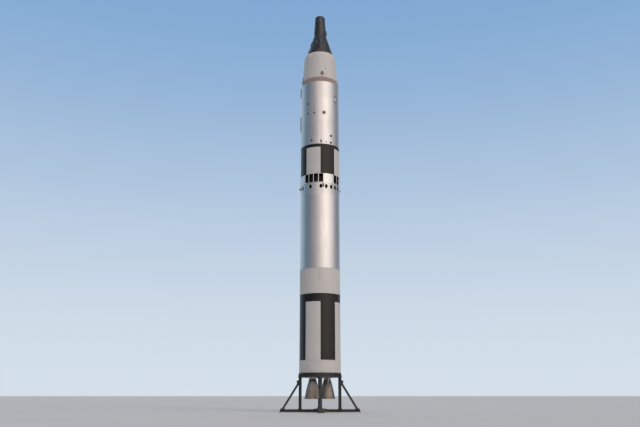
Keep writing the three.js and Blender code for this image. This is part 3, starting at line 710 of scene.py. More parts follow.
low, high = heights("upper_tank")
barrel_top = heights("forward_skirt")[0]
DOME_R, DOME_STEPS, SHEET_HEIGHT = BODY_R - 0.085, 12, 2.01
dome_turns = [math.pi / 2 * k / DOME_STEPS for k in range(DOME_STEPS)]
dome = [(DOME_R * math.cos(turn), barrel_top + (high - barrel_top) * math.sin(turn)) for turn in dome_turns]
welds = [weld(barrel_top - SHEET_HEIGHT * k) for k in (2, 1)]
tank = [(0, low), *bands(BODY_R, [splice(low), *welds]), (BODY_R, barrel_top), *dome, (0, high)]
SEAM_WIDTH, SEAM_RISE = 0.014, 0.0025


def seams(turns, low, high):
    """Upright seams between the sheets of the skin."""
    return round_wall(turns, BODY_R, 0, batten(SEAM_WIDTH, low, high, SEAM_RISE))


sheet_seams = []
for k, first in ((3, 20), (2, 65), (1, 20)):
    foot = barrel_top - SHEET_HEIGHT * k
    sheet_seams.append(seams(clear_of(RACEWAY_TURN, every(4, first)), foot + 0.03, foot + 2))
upper_tank = piece(
    "upper_tank_skin",
    [
        (silver, lathe(tank, FINE), *sheet_seams),
        (rivet_finish, rivet_rows(BODY_R + SPLICE_RISE, [low + SPLICE_HEIGHT / 2], 120)),
    ],
    "upper_tank",
)


# First stage, forward skirt and vent ring: hollow bands of sheet. The skirt has oval ports with bright
# rims and four steel eye plates, and a plain sheet closes it over the tank's dome. The ring over it has
# four groups of wide vents that let the second stage's exhaust out. Their insides, the closing sheet and
# the tank's dome get a dark grey-green that is painted shade, so the ports and vents look dark inside.
def pierced_ring(node, turns, width, hole_low, hole_high, columns, rows, oval=None):
    """A node's round wall with holes of a width in degrees, or with ovals of (across, up) shares of them."""
    low, high = heights(node)
    corners, faces, numbers = [], [], {}

    def corner(turn, z, radius):
        key = (round(turn % 360, 4) % 360, round(z, 5), radius)
        if key not in numbers:
            numbers[key] = len(corners)
            corners.append(around(radius, math.radians(turn), z))
        return numbers[key]

    def patch(*points):
        faces.append(tuple(corner(*point, BODY_R) for point in points))
        faces.append(tuple(corner(*point, SHEET_INNER_R) for point in reversed(points)))

    def edge_between(here, there):
        ends = ((here, BODY_R), (there, BODY_R), (there, SHEET_INNER_R), (here, SHEET_INNER_R))
        faces.append(tuple(corner(*point, radius) for point, radius in ends))

    starts = sorted(turn - width / 2 for turn in turns)
    lines, solid = [], []
    for start, following in zip(starts, starts[1:] + [starts[0] + 360]):
        end = start + width
        gap = max(1, math.ceil((following - end) * FINE / 360))
        lines += [start + width * i / columns for i in range(columns)]
        lines += [end + (following - end) * i / gap for i in range(gap)]
        solid += [False] * columns + [True] * gap
    lines.append(lines[0] + 360)
    hole_rows = [hole_low + (hole_high - hole_low) * i / rows for i in range(rows + 1)]
    levels = [low, *hole_rows, high]
    for left, right, whole in zip(lines, lines[1:], solid):
        for foot, top in zip(levels, levels[1:]):
            if whole or foot < hole_low - 1e-6 or foot > hole_high - 1e-6:
                patch((left, foot), (right, foot), (right, top), (left, top))
        for z in (low, high):
            edge_between((left, z), (right, z))
    for start in starts:
        across = [start + width * i / columns for i in range(columns + 1)]
        edge = [(turn, hole_low) for turn in across[:-1]] + [(across[-1], z) for z in hole_rows[:-1]]
        edge += [(turn, hole_high) for turn in across[:0:-1]] + [(start, z) for z in hole_rows[:0:-1]]
        if oval:
            rim, edge = edge, []
            middle, half = start + width / 2, width / 2
            centre, tall = (hole_low + hole_high) / 2, (hole_high - hole_low) / 2
            for turn, z in rim:
                angle = math.atan2((z - centre) / tall, (turn - middle) / half)
                aside, up = oval[0] * half * math.cos(angle), oval[1] * tall * math.sin(angle)
                edge.append((middle + aside, centre + up))
            for k in range(len(rim)):
                after = (k + 1) % len(rim)
                patch(rim[k], rim[after], edge[after], edge[k])
        for here, there in zip(edge, edge[1:] + edge[:1]):
            edge_between(here, there)
    return corners, faces


def oval_on_wall(place, layers, closed, steps=32):
    """Ovals over each other at (turn, height, width, tallness), each a (share of that size, rise)."""
    turn, z, width, tall = place
    turns = [math.tau * k / steps for k in range(steps)]
    rings = []
    for share, out in layers:
        rings.append([
            around(
                BODY_R + out, math.radians(turn) + share * width / 2 * math.cos(a) / BODY_R,
                z + share * tall / 2 * math.sin(a),
            )
            for a in turns
        ])
    return lofted(rings, closed)


def rim_round(place, rise, grow):
    """A raised rim round an oval hole."""
    return oval_on_wall(place, [(1.0, -0.012), (1.0, rise), (grow, rise), (grow, -0.012)], True)


def eye_plate(outline, eye, eye_r, thickness):
    """A plate with a round eye through it."""
    points = [
        (a[0] + (b[0] - a[0]) * k / 6, a[1] + (b[1] - a[1]) * k / 6)
        for a, b in zip(outline, outline[1:] + outline[:1])
        for k in range(6)
    ]
    hole = []
    for x, y in points:
        away = math.hypot(x - eye[0], y - eye[1])
        hole.append((eye[0] + (x - eye[0]) * eye_r / away, eye[1] + (y - eye[1]) * eye_r / away))
    half = thickness / 2
    layers = ((points, -half), (points, half), (hole, half), (hole, -half))
    return lofted([[(x, y, z) for x, y in flat] for flat, z in layers], closed=True)


LUG_TURNS = (8, 98, 188, 278)
LUG_REACH, LUG_HALF, LUG_THICKNESS, EYE_OUT, EYE_R = 0.12, 0.13, 0.05, 0.066, 0.028


def wall_lugs(radius, z):
    """Plates that stand out of the wall on a foot, each with an eye along the wall."""
    half = [(-0.03, -LUG_HALF), (0.02, -LUG_HALF), (LUG_REACH - 0.02, -0.05), (LUG_REACH, -0.025)]
    outline = half + [(x, -y) for x, y in reversed(half)]
    plate = placed(spin(-90, "Y"), eye_plate(outline, (EYE_OUT, 0), EYE_R, LUG_THICKNESS))
    return round_wall(LUG_TURNS, radius, z, plate, slab(0.14, 0.30, -0.02, 0.012))


# Painted shade: a dark grey-green for the insides of the hollow bands, darker than their primer, and over
# the tank's bare dome.
primer_and_painted_shade = mottled("inner_primer_and_painted_shade", 5.0, (0.085, 0.095, 0.085), (0.14, 0.15, 0.13), 0.6)
dark_steel = mottled("weathered_steel", 30.0, (0.17, 0.165, 0.17), (0.27, 0.26, 0.26), 0.5, 0.5)
SHEET_INNER_R = BODY_R - 0.02
PORTS = [-62, -30, 1, 17, 33, 48, 62, 118, 150, 181, 197, 213, 228, 242]
PORT_Z, PORT_WIDTH, PORT_TALL = 16.71, 0.23, 0.34
PORT_BLOCK, PORT_BLOCK_HALF = 11.0, 0.21  # the square that a port is cut in: degrees wide, half its height
port_share = (math.degrees(PORT_WIDTH / BODY_R) / PORT_BLOCK, PORT_TALL / 2 / PORT_BLOCK_HALF)
low, high = heights("forward_skirt")
skirt = pierced_ring(
    "forward_skirt", PORTS, PORT_BLOCK, PORT_Z - PORT_BLOCK_HALF, PORT_Z + PORT_BLOCK_HALF, 8, 8, port_share,
)
rims = [rim_round((turn, PORT_Z, PORT_WIDTH, PORT_TALL), 0.005, 1.13) for turn in PORTS]
EDGE_R, CLOSURE_HOLE_R = BODY_R + 0.006, 0.79
edges = [
    lathe([(SHEET_INNER_R, z), (EDGE_R, z + 0.004), (EDGE_R, z + 0.041), (SHEET_INNER_R, z + 0.045)], FINE)
    for z in (low, high - 0.045)
]
forward_skirt = piece(
    "forward_skirt_skin",
    [
        (silver, skirt, *rims, *edges),
        (primer_and_painted_shade, collar(CLOSURE_HOLE_R, SHEET_INNER_R + 0.005, high - 0.03, high - 0.018, FINE)),
        (rivet_finish, rivet_rows(EDGE_R, [low + 0.022, high - 0.022], 144, 0.009)),
        (dark_steel, wall_lugs(BODY_R, PORT_Z + 0.09)),
    ],
    "forward_skirt",
)
# Painted shade: the tank's dome and bottom, inside the skirts, are painted dark instead of bare metal.
repaint(upper_tank, primer_and_painted_shade, lambda radius, turn, z: radius < BODY_R - 0.02)

bright = mottled(
    "bright_vent_skin", 9.0, (0.78, 0.77, 0.76), (0.92, 0.91, 0.90), 0.36, 0.85,
    swing=0.12, squeeze=0.1, detail=6.0,
)
VENT_GROUPS, VENT_PITCH, VENT_WIDTH, VENT_LOW, VENT_HIGH = (-21, 71, 157, 251), 15, 0.345, 17.04, 17.73
vents = [group + step * VENT_PITCH for group in VENT_GROUPS for step in (-1.5, -0.5, 0.5, 1.5)]
vent_degrees = 2 * math.degrees(math.asin(VENT_WIDTH / 2 / BODY_R))
vent_lips = [
    wall_plate(turn + side * (vent_degrees / 2 + 0.42), 0.014, VENT_LOW, VENT_HIGH, 0.007, steps=2)
    for turn in vents
    for side in SIGNS
]
vent_wall = pierced_ring("vent_ring", vents, vent_degrees, VENT_LOW, VENT_HIGH, 4, 1)
vent_ring = piece("vent_ring_skin", [(bright, vent_wall, *vent_lips)], "vent_ring")
# Painted shade on the inner faces of the skirt and the vent ring.
for made in (forward_skirt, vent_ring):
    repaint(made, primer_and_painted_shade, lambda radius, turn, z: radius < BODY_R - 0.004)

# Second stage, interstage: a hollow band of sheet with black and white fields under a black ring, as on
# the lower tank. It hides the second stage's engine, which shows only through the vents below it.
SECOND_RING_FOOT = 19.91
low, high = heights("interstage")
ring_bands = [(SECOND_RING_FOOT + 0.05, SECOND_RING_FOOT + 0.08, 0.004), splice(high - SPLICE_HEIGHT)]
barrel = [
    (SKIRT_INNER_R, low), *bands(BODY_R, [(low, low + 0.05, 0.004), weld(18.94)]),
    (BODY_R, SECOND_RING_FOOT), *bands(BODY_R, ring_bands), (SKIRT_INNER_R, high),
]
interstage = piece("interstage_skin", [(white, lathe(barrel, FINE))], "interstage")
paint_fields(interstage, SECOND_RING_FOOT, low)
# Painted shade on the interstage's inner wall.
repaint(interstage, primer_and_painted_shade, lambda radius, turn, z: radius < SKIRT_INNER_R + 0.01)
rivet_heights = [low + 0.025, SECOND_RING_FOOT + 0.065, high - SPLICE_HEIGHT / 2]
fasteners = rivet_rows(BODY_R + 0.005, rivet_heights, 120, 0.009)
piece("interstage_fasteners", [(black, fasteners)])


# Second stage engine: one bell of thin metal with hoops round it, tinted by heat. It hangs from a plain
# chamber under the tank.
@finish("heat_tinted_metal")
def heated(place):
    heat = place.noise(1.7, 3.0)
    brushed = place.stretched(6, 6, 60).noise(3.0)
    straw = heat.between(0.45, 0.60) * 0.6
    blue = heat.between(0.58, 0.72) * 0.5
    steel = brushed.blend((0.30, 0.28, 0.26), (0.44, 0.41, 0.38))
    return {
        "Base Color": blue.blend(straw.blend(steel, (0.40, 0.27, 0.15)), (0.14, 0.15, 0.22)),
        "Metallic": 0.95,
        "Roughness": 0.30 + brushed * 0.15,
    }


def bell_curve(throat, bend, lip, steps):
    """Points (radius, z) down a bell's inside, from its throat to its lip."""
    shares = [k / steps for k in range(steps + 1)]
    return [
        tuple((1 - t) ** 2 * a + 2 * t * (1 - t) * b + t * t * c for a, b, c in zip(throat, bend, lip))
        for t in shares
    ]


BELL_WALL = 0.018
SECOND_BELL = ((0.11, 18.65), (0.455, 18.32), (0.80, 17.38))  # throat, bend, lip
inside = bell_curve(*SECOND_BELL, 14)
outside = [(radius + BELL_WALL, z) for radius, z in reversed(inside)]
top = heights("second_stage_engine")[1]
chamber = [
    (0, 18.99), (0.19, 18.99), (0.19, 18.80), *inside, *outside, (0.23, 18.80), (0.23, 19.03), (0.30, 19.05),
    (0.30, 19.10), (0.42, 19.13), (0.42, 19.41), (0.30, 19.46), (0.18, 19.52), (0.18, top), (0, top),
]
hoops = [
    lathe([(r + 0.016, z - 0.02), (r + 0.032, z - 0.012), (r + 0.032, z + 0.012), (r + 0.016, z + 0.02)], 96)
    for r, z in bell_curve(*SECOND_BELL, 6)[2:]
]
piece("second_stage_bell", [(heated, lathe(chamber, 96), *hoops)], "second_stage_engine")

# Second stage tanks: bare aluminium skin with weld lines and seams. It carries covered ports, patches, and
# a long white blister on a dark foot plate, which is painted shadow round the blister.
dark_cover = mottled("dark_port_cover", 20.0, (0.006, 0.007, 0.008), (0.014, 0.015, 0.017), 0.55)
red_cover = mottled("dull_red_port_cover", 14.0, (0.10, 0.035, 0.03), (0.16, 0.06, 0.05), 0.6)


def covered_ports(places):
    """The rims and the covers of oval ports."""
    covers = [oval_on_wall(place, [(1.0, -0.01), (1.0, 0.006)], False) for place in places]
    return [rim_round(place, 0.006, 1.14) for place in places], covers


def half_dome(steps, facets):
    """Half a ball of radius 1, standing on z = 0."""
    turns = [math.pi / 2 * k / steps for k in range(steps)]
    return lathe([(0, 0), *((math.cos(turn), math.sin(turn)) for turn in turns), (0, 1)], facets)


low, high = heights("second_stage_lower_tank")
barrel_low = heights("interstage")[1]
dome = [
    (r, barrel_low - (barrel_low - low) * math.sqrt(1 - (r / DOME_R) ** 2))
    for r in (0.45, 0.9, 1.2, 1.36, DOME_R)
]
splices = [(barrel_low, barrel_low + 0.045, 0.005), (high - 0.06, high, 0.005)]
# Ports and patches are each (turn, height, width, tallness); a patch's height is its foot's.
DARK_PORTS = [
    (-26.8, 20.48, 0.14, 0.17), (16.7, 20.34, 0.08, 0.14), (32.4, 20.33, 0.20, 0.17),
    (33.0, 20.90, 0.19, 0.22), (142, 20.40, 0.13, 0.20), (232, 20.36, 0.13, 0.17),
]
RED_PORTS = [(1.7, 20.38, 0.13, 0.26), (176, 20.38, 0.15, 0.24)]
PATCHES = [(49.8, 20.72, 0.30, 0.25), (-68, 21.0, 0.26, 0.34), (205, 21.1, 0.30, 0.30)]
UPPER_PORTS = [
    (-18.5, 22.80, 0.13, 0.15), (-38.6, 22.81, 0.13, 0.18), (-40.1, 23.65, 0.14, 0.24),
    (10.0, 22.80, 0.21, 0.24), (205, 22.80, 0.12, 0.16), (118, 23.60, 0.12, 0.18),
]
patches = [wall_plate(turn, width, foot, foot + tall, 0.003) for turn, foot, width, tall in PATCHES]
dark_rims, dark_covers = covered_ports(DARK_PORTS)
red_rims, red_covers = covered_ports(RED_PORTS)
barrel = lathe([(0, low), *dome, *bands(BODY_R, splices), (0, high)], FINE)
barrel_seams = seams(every(4, 50), barrel_low + 0.08, high - 0.09)
piece(
    "second_stage_lower_skin",
    [
        (silver, barrel, barrel_seams, *dark_rims, *red_rims, *patches),
        (dark_cover, *dark_covers),
        (red_cover, *red_covers),
        (rivet_finish, rivet_rows(BODY_R + 0.005, [barrel_low + 0.022, high - 0.03], 120, 0.009)),
    ],
    "second_stage_lower_tank",
)

low, high = heights("second_stage_upper_tank")
welds = [weld(low + 0.42), weld(low + 2.05), (high - 0.05, high, 0.005)]
barrel = lathe([(0, low), (BODY_R, low), *bands(BODY_R, welds), (0, high)], FINE)
rims, covers = covered_ports(UPPER_PORTS)
BLISTER_TURN, BLISTER_Z, BLISTER_SIZE, BLISTER_SHADOW_HALF = 51.5, 24.14, (0.09, 0.23, 0.055), 0.27
blister_spot = on_wall(BLISTER_TURN, BODY_R - 0.004, BLISTER_Z) @ Matrix.Diagonal((*BLISTER_SIZE, 1))
# Painted shadow: a dark plate a little larger than the blister, round its foot, stands for the blister's
# shadow on the skin.
blister_shadow_plate = wall_plate(BLISTER_TURN, 0.23, BLISTER_Z - BLISTER_SHADOW_HALF, BLISTER_Z + BLISTER_SHADOW_HALF, 0.005)
surround = wall_plate(UPPER_PORTS[3][0], 0.36, low + 0.01, low + 0.30, 0.003)
piece(
    "second_stage_upper_skin",
    [
        (silver, barrel, seams(every(4, 5), low + 0.47, low + 2.03), *rims),
        (white, placed(blister_spot, half_dome(6, 32)), surround),
        (dark_cover, *covers, blister_shadow_plate),
        (rivet_finish, rivet_rows(BODY_R + 0.005, [high - 0.025], 120, 0.009)),
    ],
    "second_stage_upper_tank",
)

# Raceways: pressed covers over the cables and pipes that run past the tanks, held by straps, with dark
# lower ends.
raceway_paint = mottled(
    "worn_grey_raceway", 7.0, (0.15, 0.165, 0.19), (0.25, 0.265, 0.29), 0.5, 0.4, squeeze=0.2, detail=5.0,
)
RACEWAYS = [  # node, turn, width, height over the skin, finish
    ("first_stage_raceway", RACEWAY_TURN, 0.19, 0.09, silver),
    ("second_stage_raceway_lower", -88, 0.13, 0.06, raceway_paint),
    ("second_stage_raceway_upper", -88, 0.13, 0.06, raceway_paint),
]
UP_THE_WALL = Matrix(((-1, 0, 0, 0), (0, 0, 1, 0), (0, 1, 0, 0), (0, 0, 0, 1)))


def cover_outline(width, height, grow=0.0):
    """A pressed cover's section: straight flanks and a crown of short flats."""
    half = width / 2 + grow
    foot, rise = 0.55 * height, 0.45 * height + grow
    crown = [(half * math.cos(a), foot + rise * math.sin(a)) for a in (0, 0.4, 0.8, 1.2)]
    return [(-half, -0.012), (half, -0.012), *crown, *((-x, y) for x, y in reversed(crown))]


for node, turn, width, height, metal in RACEWAYS:
    low, high = heights(node)
    foot, tall = on_wall(turn, BODY_R, low) @ UP_THE_WALL, high - low
    strap_count = max(2, round(tall / 0.75)) + 1
    straps = [
        prism(cover_outline(width, height, 0.004), z - 0.018, z + 0.018)
        for z in np.linspace(0.06, tall - 0.06, strap_count)
    ]
    end_outline = cover_outline(0.8 * width, 0.7 * height)
    ends = [prism(end_outline, *span) for span in ((0, 0.07), (tall - 0.07, tall))]
    piece(
        f"{node}_cover",
        [
            (metal, placed(foot, prism(cover_outline(width, height), 0.05, tall - 0.05))),
            (rivet_finish, placed(foot, *straps)),
            (dark_cover, placed(foot, *ends)),
        ],
        node, bevel=0.002,
    )


# Mating ring: a red-brown primed cone between the rocket and the capsule's adapter, with two rows of
# bolts, a raised band and four white eye plates.
@finish("red_brown_primer")
def red_brown(place):
    streaks = place.stretched(1, 1, 0.08).noise(9.0, 6.0)
    chalk = place.noise(2.3).between(0.4, 0.7)
    return {
        "Base Color": (streaks * 0.6 + chalk * 0.4).blend((0.29, 0.19, 0.175), (0.39, 0.285, 0.265)),
        "Roughness": 0.55 + chalk * 0.2,
    }


def on_cone(foot_r, foot_z, slope, places):
    """Points up a cone from (height over its foot, rise) pairs."""
    return [(foot_r - slope * up + rise, foot_z + up) for up, rise in places]


ADAPTER_R = 1.41
low, high = heights("mating_ring")[0], heights("adapter_lower")[0]
tall = high - low
slope = (BODY_R - ADAPTER_R) / tall
lean = math.atan(slope)
places = [
    (0, 0.004), (0.05, 0.004), (0.054, 0), (0.14, 0), (0.144, 0.007), (0.186, 0.007), (0.19, 0),
    (tall - 0.06, 0), (tall - 0.056, 0.005), (tall, 0.005),
]
bolts = [
    round_wall(every(60, 2), BODY_R - slope * up + rise, low + up, bolt(0.009), lean=lean)
    for up, rise in ((0.024, 0.003), (tall - 0.028, 0.004))
]
piece(
    "mating_ring_cone",
    [
        (
            red_brown, lathe([(0, low), *on_cone(BODY_R, low, slope, places), (0, high)], FINE),
            round_wall(every(36, 3), BODY_R, low, batten(0.028, 0.20, tall - 0.07, 0.008), lean=lean),
        ),
        (rivet_finish, *bolts),
        (white, wall_lugs(ADAPTER_R + 0.03, high + 0.06)),
    ],
    "mating_ring",
)

# Adapter: a white cone in two sections, stiffened by fine battens, with a rounded shoulder at its top. It
# carries small round ports with pale rims, and clusters of three nozzles on four sides.
enamel = mottled("white_enamel", 9.0, (0.84, 0.84, 0.84), (0.93, 0.93, 0.92), 0.3)
SHOULDER_R, SHOULDER_Z, ADAPTER_TOP_R, BATTEN_TURNS = 1.285, 27.95, 1.12, every(60, 3)
NOZZLE_PLACES = [(-3.0, 26.22), (3.0, 26.22), (0, 26.37)]  # turn from the cluster's middle, height
DOT_TURN, DOT_Z, ADAPTER_PORT_Z = 16, 26.70, 28.02
adapter_low, seam = heights("adapter_lower")
adapter_top = heights("adapter_upper")[1]
adapter_slope = (ADAPTER_R - SHOULDER_R) / (SHOULDER_Z - adapter_low)
adapter_lean = math.atan(adapter_slope)


def adapter_r(z):
    return ADAPTER_R - adapter_slope * (z - adapter_low)


def on_adapter(turns, z, out, *shapes):
    """Copies of shapes on the adapter, at a distance out of its wall."""
    return round_wall(turns, adapter_r(z) + out, z, *shapes, lean=adapter_lean)


def nozzles(radius, spots):
    """Small bells at places on a wall, and their dark throat plates."""
    mouth = 0.6 * radius
    wall = [(0.55 * radius, -0.01), (radius, mouth), (0.88 * radius, mouth), (0.45 * radius, -0.01)]
    throat = collar(0, 0.5 * radius, -0.01, 0.05 * radius, 24)
    return [joined(*(placed(spot, shape) for spot in spots)) for shape in (lathe(wall, 24), throat)]


tall = seam - adapter_low
places = [(0, 0.004), (0.06, 0.004), (0.064, 0), (tall - 0.035, 0), (tall - 0.033, 0.003), (tall, 0.003)]
cone = lathe([(0, adapter_low), *on_cone(ADAPTER_R, adapter_low, adapter_slope, places), (0, seam)], FINE)
strip = batten(0.022, 0.09, tall - 0.05, 0.005)
bells, throats = nozzles(0.062, [
    on_wall(cluster + turn, adapter_r(z), z, adapter_lean)
    for cluster in every(4, 6)
    for turn, z in NOZZLE_PLACES
])
bolts = round_wall(every(72, 1), ADAPTER_R + 0.003, adapter_low + 0.03, bolt(0.008), lean=adapter_lean)
piece(
    "adapter_lower_skin",
    [
        (white, cone, on_adapter(clear_of(6, BATTEN_TURNS), adapter_low, -0.001, strip)),
        (dark_cover, bells, throats, on_adapter([DOT_TURN], DOT_Z, 0, collar(0, 0.035, 0, 0.004, 24))),
        (rivet_finish, bolts),
    ],
    "adapter_lower",
)

foot = on_cone(adapter_r(seam), seam, adapter_slope, [(0, 0.003), (0.03, 0.003), (0.032, 0)])
bend = (SHOULDER_R - 0.02, adapter_top - 0.04)
shoulder = bell_curve((SHOULDER_R, SHOULDER_Z), bend, (ADAPTER_TOP_R, adapter_top), 12)
strip = batten(0.022, 0.05, SHOULDER_Z - seam - 0.03, 0.005)
rim = lathe([(0.055, -0.01), (0.055, 0.016), (0.105, 0.016), (0.115, -0.01)], 32)
port_spot = (every(4, 48), adapter_r(28.0) - 0.004, ADAPTER_PORT_Z)
piece(
    "adapter_upper_skin",
    [
        (
            white, lathe([(0, seam), *foot, *shoulder, (0, adapter_top)], FINE),
            on_adapter(BATTEN_TURNS, seam, -0.001, strip),
        ),
        (enamel, round_wall(*port_spot, rim, lean=adapter_lean)),
        (dark_cover, round_wall(*port_spot, collar(0, 0.058, -0.005, 0.003, 32), lean=adapter_lean)),
        (rivet_finish, rivet_rows(adapter_r(seam) + 0.003, [seam + 0.015], 120, 0.008)),
    ],
    "adapter_upper",
)

# Heat shield: the dished base of the capsule, of a dark red heat-resistant layer. Only its edge shows, as
# a thin line over the adapter.
low, high = heights("heat_shield")
SHIELD_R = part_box("heat_shield")[1].x
shield_edge = mottled("heat_shield_edge", 6.0, (0.20, 0.052, 0.052), (0.27, 0.075, 0.07), 0.7)
shield = [
    (0, low), (SHIELD_R - 0.02, low), (SHIELD_R - 0.006, low + 0.012), (SHIELD_R, low + 0.03),
    (SHIELD_R, high - 0.018), (SHIELD_R - 0.01, high - 0.004), (SHIELD_R - 0.02, high), (0, high),
]
piece("heat_shield_disc", [(shield_edge, lathe(shield, FINE))], "heat_shield")


# Cabin: a hollow cone skinned with dark beaded shingles, with two doorways side by side. A doorway is
# wider at its foot, and its hatch lies flush in it.
@finish("charcoal_shingles")
def charcoal(place):
    beads = (turn_of(place) * 180).maths("SINE")
    scuffs = place.stretched(1, 1, 0.3).noise(7.0, 8.0).between(0.48, 0.72)
    tone = place.noise(1.6) * 0.6 + sheets(place, 18, 0.47) * 0.4
    skin = tone.blend((0.046, 0.049, 0.056), (0.088, 0.089, 0.092))
    return {
        "Base Color": (scuffs * 0.35).blend(skin, (0.18, 0.175, 0.17)),
        "Metallic": 0.9,
        "Roughness": 0.29 + scuffs * 0.16,
        "Normal": beads.bumps(0.22, 0.004),
    }


cabin_lining = mottled("cabin_lining_grey", 6.0, (0.27, 0.28, 0.28), (0.36, 0.37, 0.36), 0.6)
CABIN_LOW, CABIN_HIGH = heights("cabin_shell")
CABIN_R, CABIN_TOP_R, CABIN_WALL, CABIN_FLOOR = 1.09, 0.49, 0.052, 0.06
HATCH_MIDDLE, HATCH_SPREAD, HATCH_Z, HATCH_HALF = -50, 24, 29.26, 0.64
HATCH_FOOT, HATCH_HEAD, HATCH_CORNER = 0.33, 0.20, 0.07
SIDES = {"left": -1, "right": 1}
cabin_slope = (CABIN_R - CABIN_TOP_R) / (CABIN_HIGH - CABIN_LOW)
cabin_lean = math.atan(cabin_slope)


def cabin_r(z, depth=0.0):
    return CABIN_R - cabin_slope * (z - CABIN_LOW) - depth


def keystone(low, high, foot_half, head_half, corner, steps=5):
    """An outline wider at its foot, with round corners."""
    points = [(-foot_half, low), (foot_half, low), (head_half, high), (-head_half, high)]
    outline = []
    for k, here in enumerate(points):
        here = Vector(here)
        before = (Vector(points[k - 1]) - here).normalized() * corner
        after = (Vector(points[(k + 1) % 4]) - here).normalized() * corner
        for step in range(steps + 1):
            t = step / steps
            outline.append(tuple(here + before * (1 - t) ** 2 + after * t * t))
    return outline


def hatch_prism(grow):
    """A cutter of a hatch's outline, wider all round by a distance."""
    half = HATCH_HALF + grow
    return prism(keystone(-half, half, HATCH_FOOT + grow, HATCH_HEAD + grow, HATCH_CORNER), -0.3, 0.2)


def hatch_place(side):
    return on_wall(HATCH_MIDDLE + side * HATCH_SPREAD, cabin_r(HATCH_Z), HATCH_Z, cabin_lean)


def carved(shape, *steps):
    """A closed shape after exact booleans, each (operation, other shape)."""
    helpers = []
    for number, (corners, faces) in enumerate([shape, *(other for _, other in steps)]):
        mesh = bpy.data.meshes.new(f"carving_{number}")
        mesh.from_pydata(corners, [], faces)
        turn_outward(mesh)
        helpers.append(add_object(mesh.name, mesh))
    for (operation, _), helper in zip(steps, helpers[1:]):
        cut = helpers[0].modifiers.new(helper.name, "BOOLEAN")
        cut.operation = operation
        cut.solver = "EXACT"
        cut.object = helper
    result = helpers[0].evaluated_get(bpy.context.evaluated_depsgraph_get()).to_mesh()
    corners = [tuple(vertex.co) for vertex in result.vertices]
    faces = [tuple(face.vertices) for face in result.polygons]
    for helper in helpers:
        bpy.data.meshes.remove(helper.data)
    return corners, faces


def in_cabin(radius, turn, z):
    return radius < cabin_r(z, 0.85 * CABIN_WALL) and CABIN_LOW + 0.01 < z < CABIN_HIGH - 0.01


ALL_ROUND, BESIDE_DOORWAYS, BEHIND_DOORWAYS = range(-50, 310, 20), range(-2, 258, 20), range(0, 260, 4)
SHINGLE_ROWS = [  # foot, top, turns of the plates' edges
    (28.46, 28.60, ALL_ROUND), (29.93, 30.24, ALL_ROUND),
    (28.63, 29.05, BESIDE_DOORWAYS), (29.08, 29.48, BESIDE_DOORWAYS), (29.51, 29.90, BESIDE_DOORWAYS),
]
floor_z, ceiling_z = CABIN_LOW + CABIN_FLOOR, CABIN_HIGH - CABIN_FLOOR
outer_cone = lathe([(0, CABIN_LOW), (CABIN_R, CABIN_LOW), (CABIN_TOP_R, CABIN_HIGH), (0, CABIN_HIGH)], FINE)
inner_wall = [(cabin_r(z, CABIN_WALL), z) for z in (floor_z, ceiling_z)]
inner_cone = lathe([(0, floor_z), *inner_wall, (0, ceiling_z)], FINE)
doorways = [("DIFFERENCE", placed(hatch_place(side), hatch_prism(0))) for side in SIDES.values()]
shingles = [
    curved_plate(turn + 0.4, turn + 19.6, foot, top, cabin_r, 0.006, 0.008, 6)
    for foot, top, turns in SHINGLE_ROWS
    for turn in turns
]
fasteners = [
    round_wall(BEHIND_DOORWAYS, cabin_r(z) + 0.006, z, rivet(0.007), lean=cabin_lean)
    for foot, top, _ in SHINGLE_ROWS
    for z in (foot + 0.03, top - 0.03)
]
shell = carved(outer_cone, ("DIFFERENCE", inner_cone), *doorways)
cabin = piece(
    "cabin_cone", [(charcoal, shell, *shingles), (rivet_finish, *fasteners)],
    "cabin_shell",
)
repaint(cabin, cabin_lining, in_cabin)

# Hatches: each a part of the cone, curved and beaded as the cabin is, with a window in a bolted frame. It
# turns on two hinges at its outer edge, whose pins stand between ears on the cabin.
HATCH_GAP = 0.01
WINDOW_LOW, WINDOW_HIGH, WINDOW_FOOT, WINDOW_HEAD, WINDOW_CORNER = 0.07, 0.40, 0.135, 0.105, 0.055
HINGE_OUT, HINGE_OVER, PIN_R, BORE_R, KNUCKLE_R, KNUCKLE_HALF = 0.014, 0.030, 0.012, 0.0129, 0.022, 0.055
HINGE_PLACES, EAR_START, EAR_END, EAR_R = (-0.55, 0.6), KNUCKLE_HALF + 0.005, KNUCKLE_HALF + 0.025, 0.024


def window_outline(grow):
    """A window's outline, wider all round by a distance."""
    foot, head = WINDOW_FOOT + grow, WINDOW_HEAD + grow
    return keystone(WINDOW_LOW - grow, WINDOW_HIGH + grow, foot, head, WINDOW_CORNER + grow)


def window_prism(grow, low, high):
    return prism(window_outline(grow), low, high)


def hinge_point(side, share):
    """A point of the hinge line, from share -1 at the hatch's foot to 1 at its head."""
    along = share * HATCH_HALF
    half = (HATCH_FOOT + HATCH_HEAD) / 2 - share * (HATCH_FOOT - HATCH_HEAD) / 2
    radius = cabin_r(HATCH_Z + along * math.cos(cabin_lean))
    fall = (radius - math.sqrt(radius ** 2 - half ** 2)) * math.cos(cabin_lean)
    return hatch_place(side) @ Vector((side * (half + HINGE_OUT), along, HINGE_OVER - fall))


def on_hinge(side, share):
    """A place on the hinge line: y runs along it and z out of the cabin."""
    up = (hinge_point(side, 1) - hinge_point(side, -1)).normalized()
    across = up.cross(hatch_place(side).col[2].to_3d()).normalized()
    place = Matrix((across, up, across.cross(up))).transposed().to_4x4()
    place.translation = hinge_point(side, share)
    return place


def rod(start, end, radius, facets=12):
    """A round bar between two points."""
    along = Vector(end) - Vector(start)
    place = Matrix.Translation(start) @ along.to_track_quat("Z", "Y").to_matrix().to_4x4()
    return placed(place, collar(0, radius, 0, along.length, facets))


def tube(inner, outer, half):
    """A short tube along y."""
    return placed(spin(-90, "X"), collar(inner, outer, -half, half, 24))


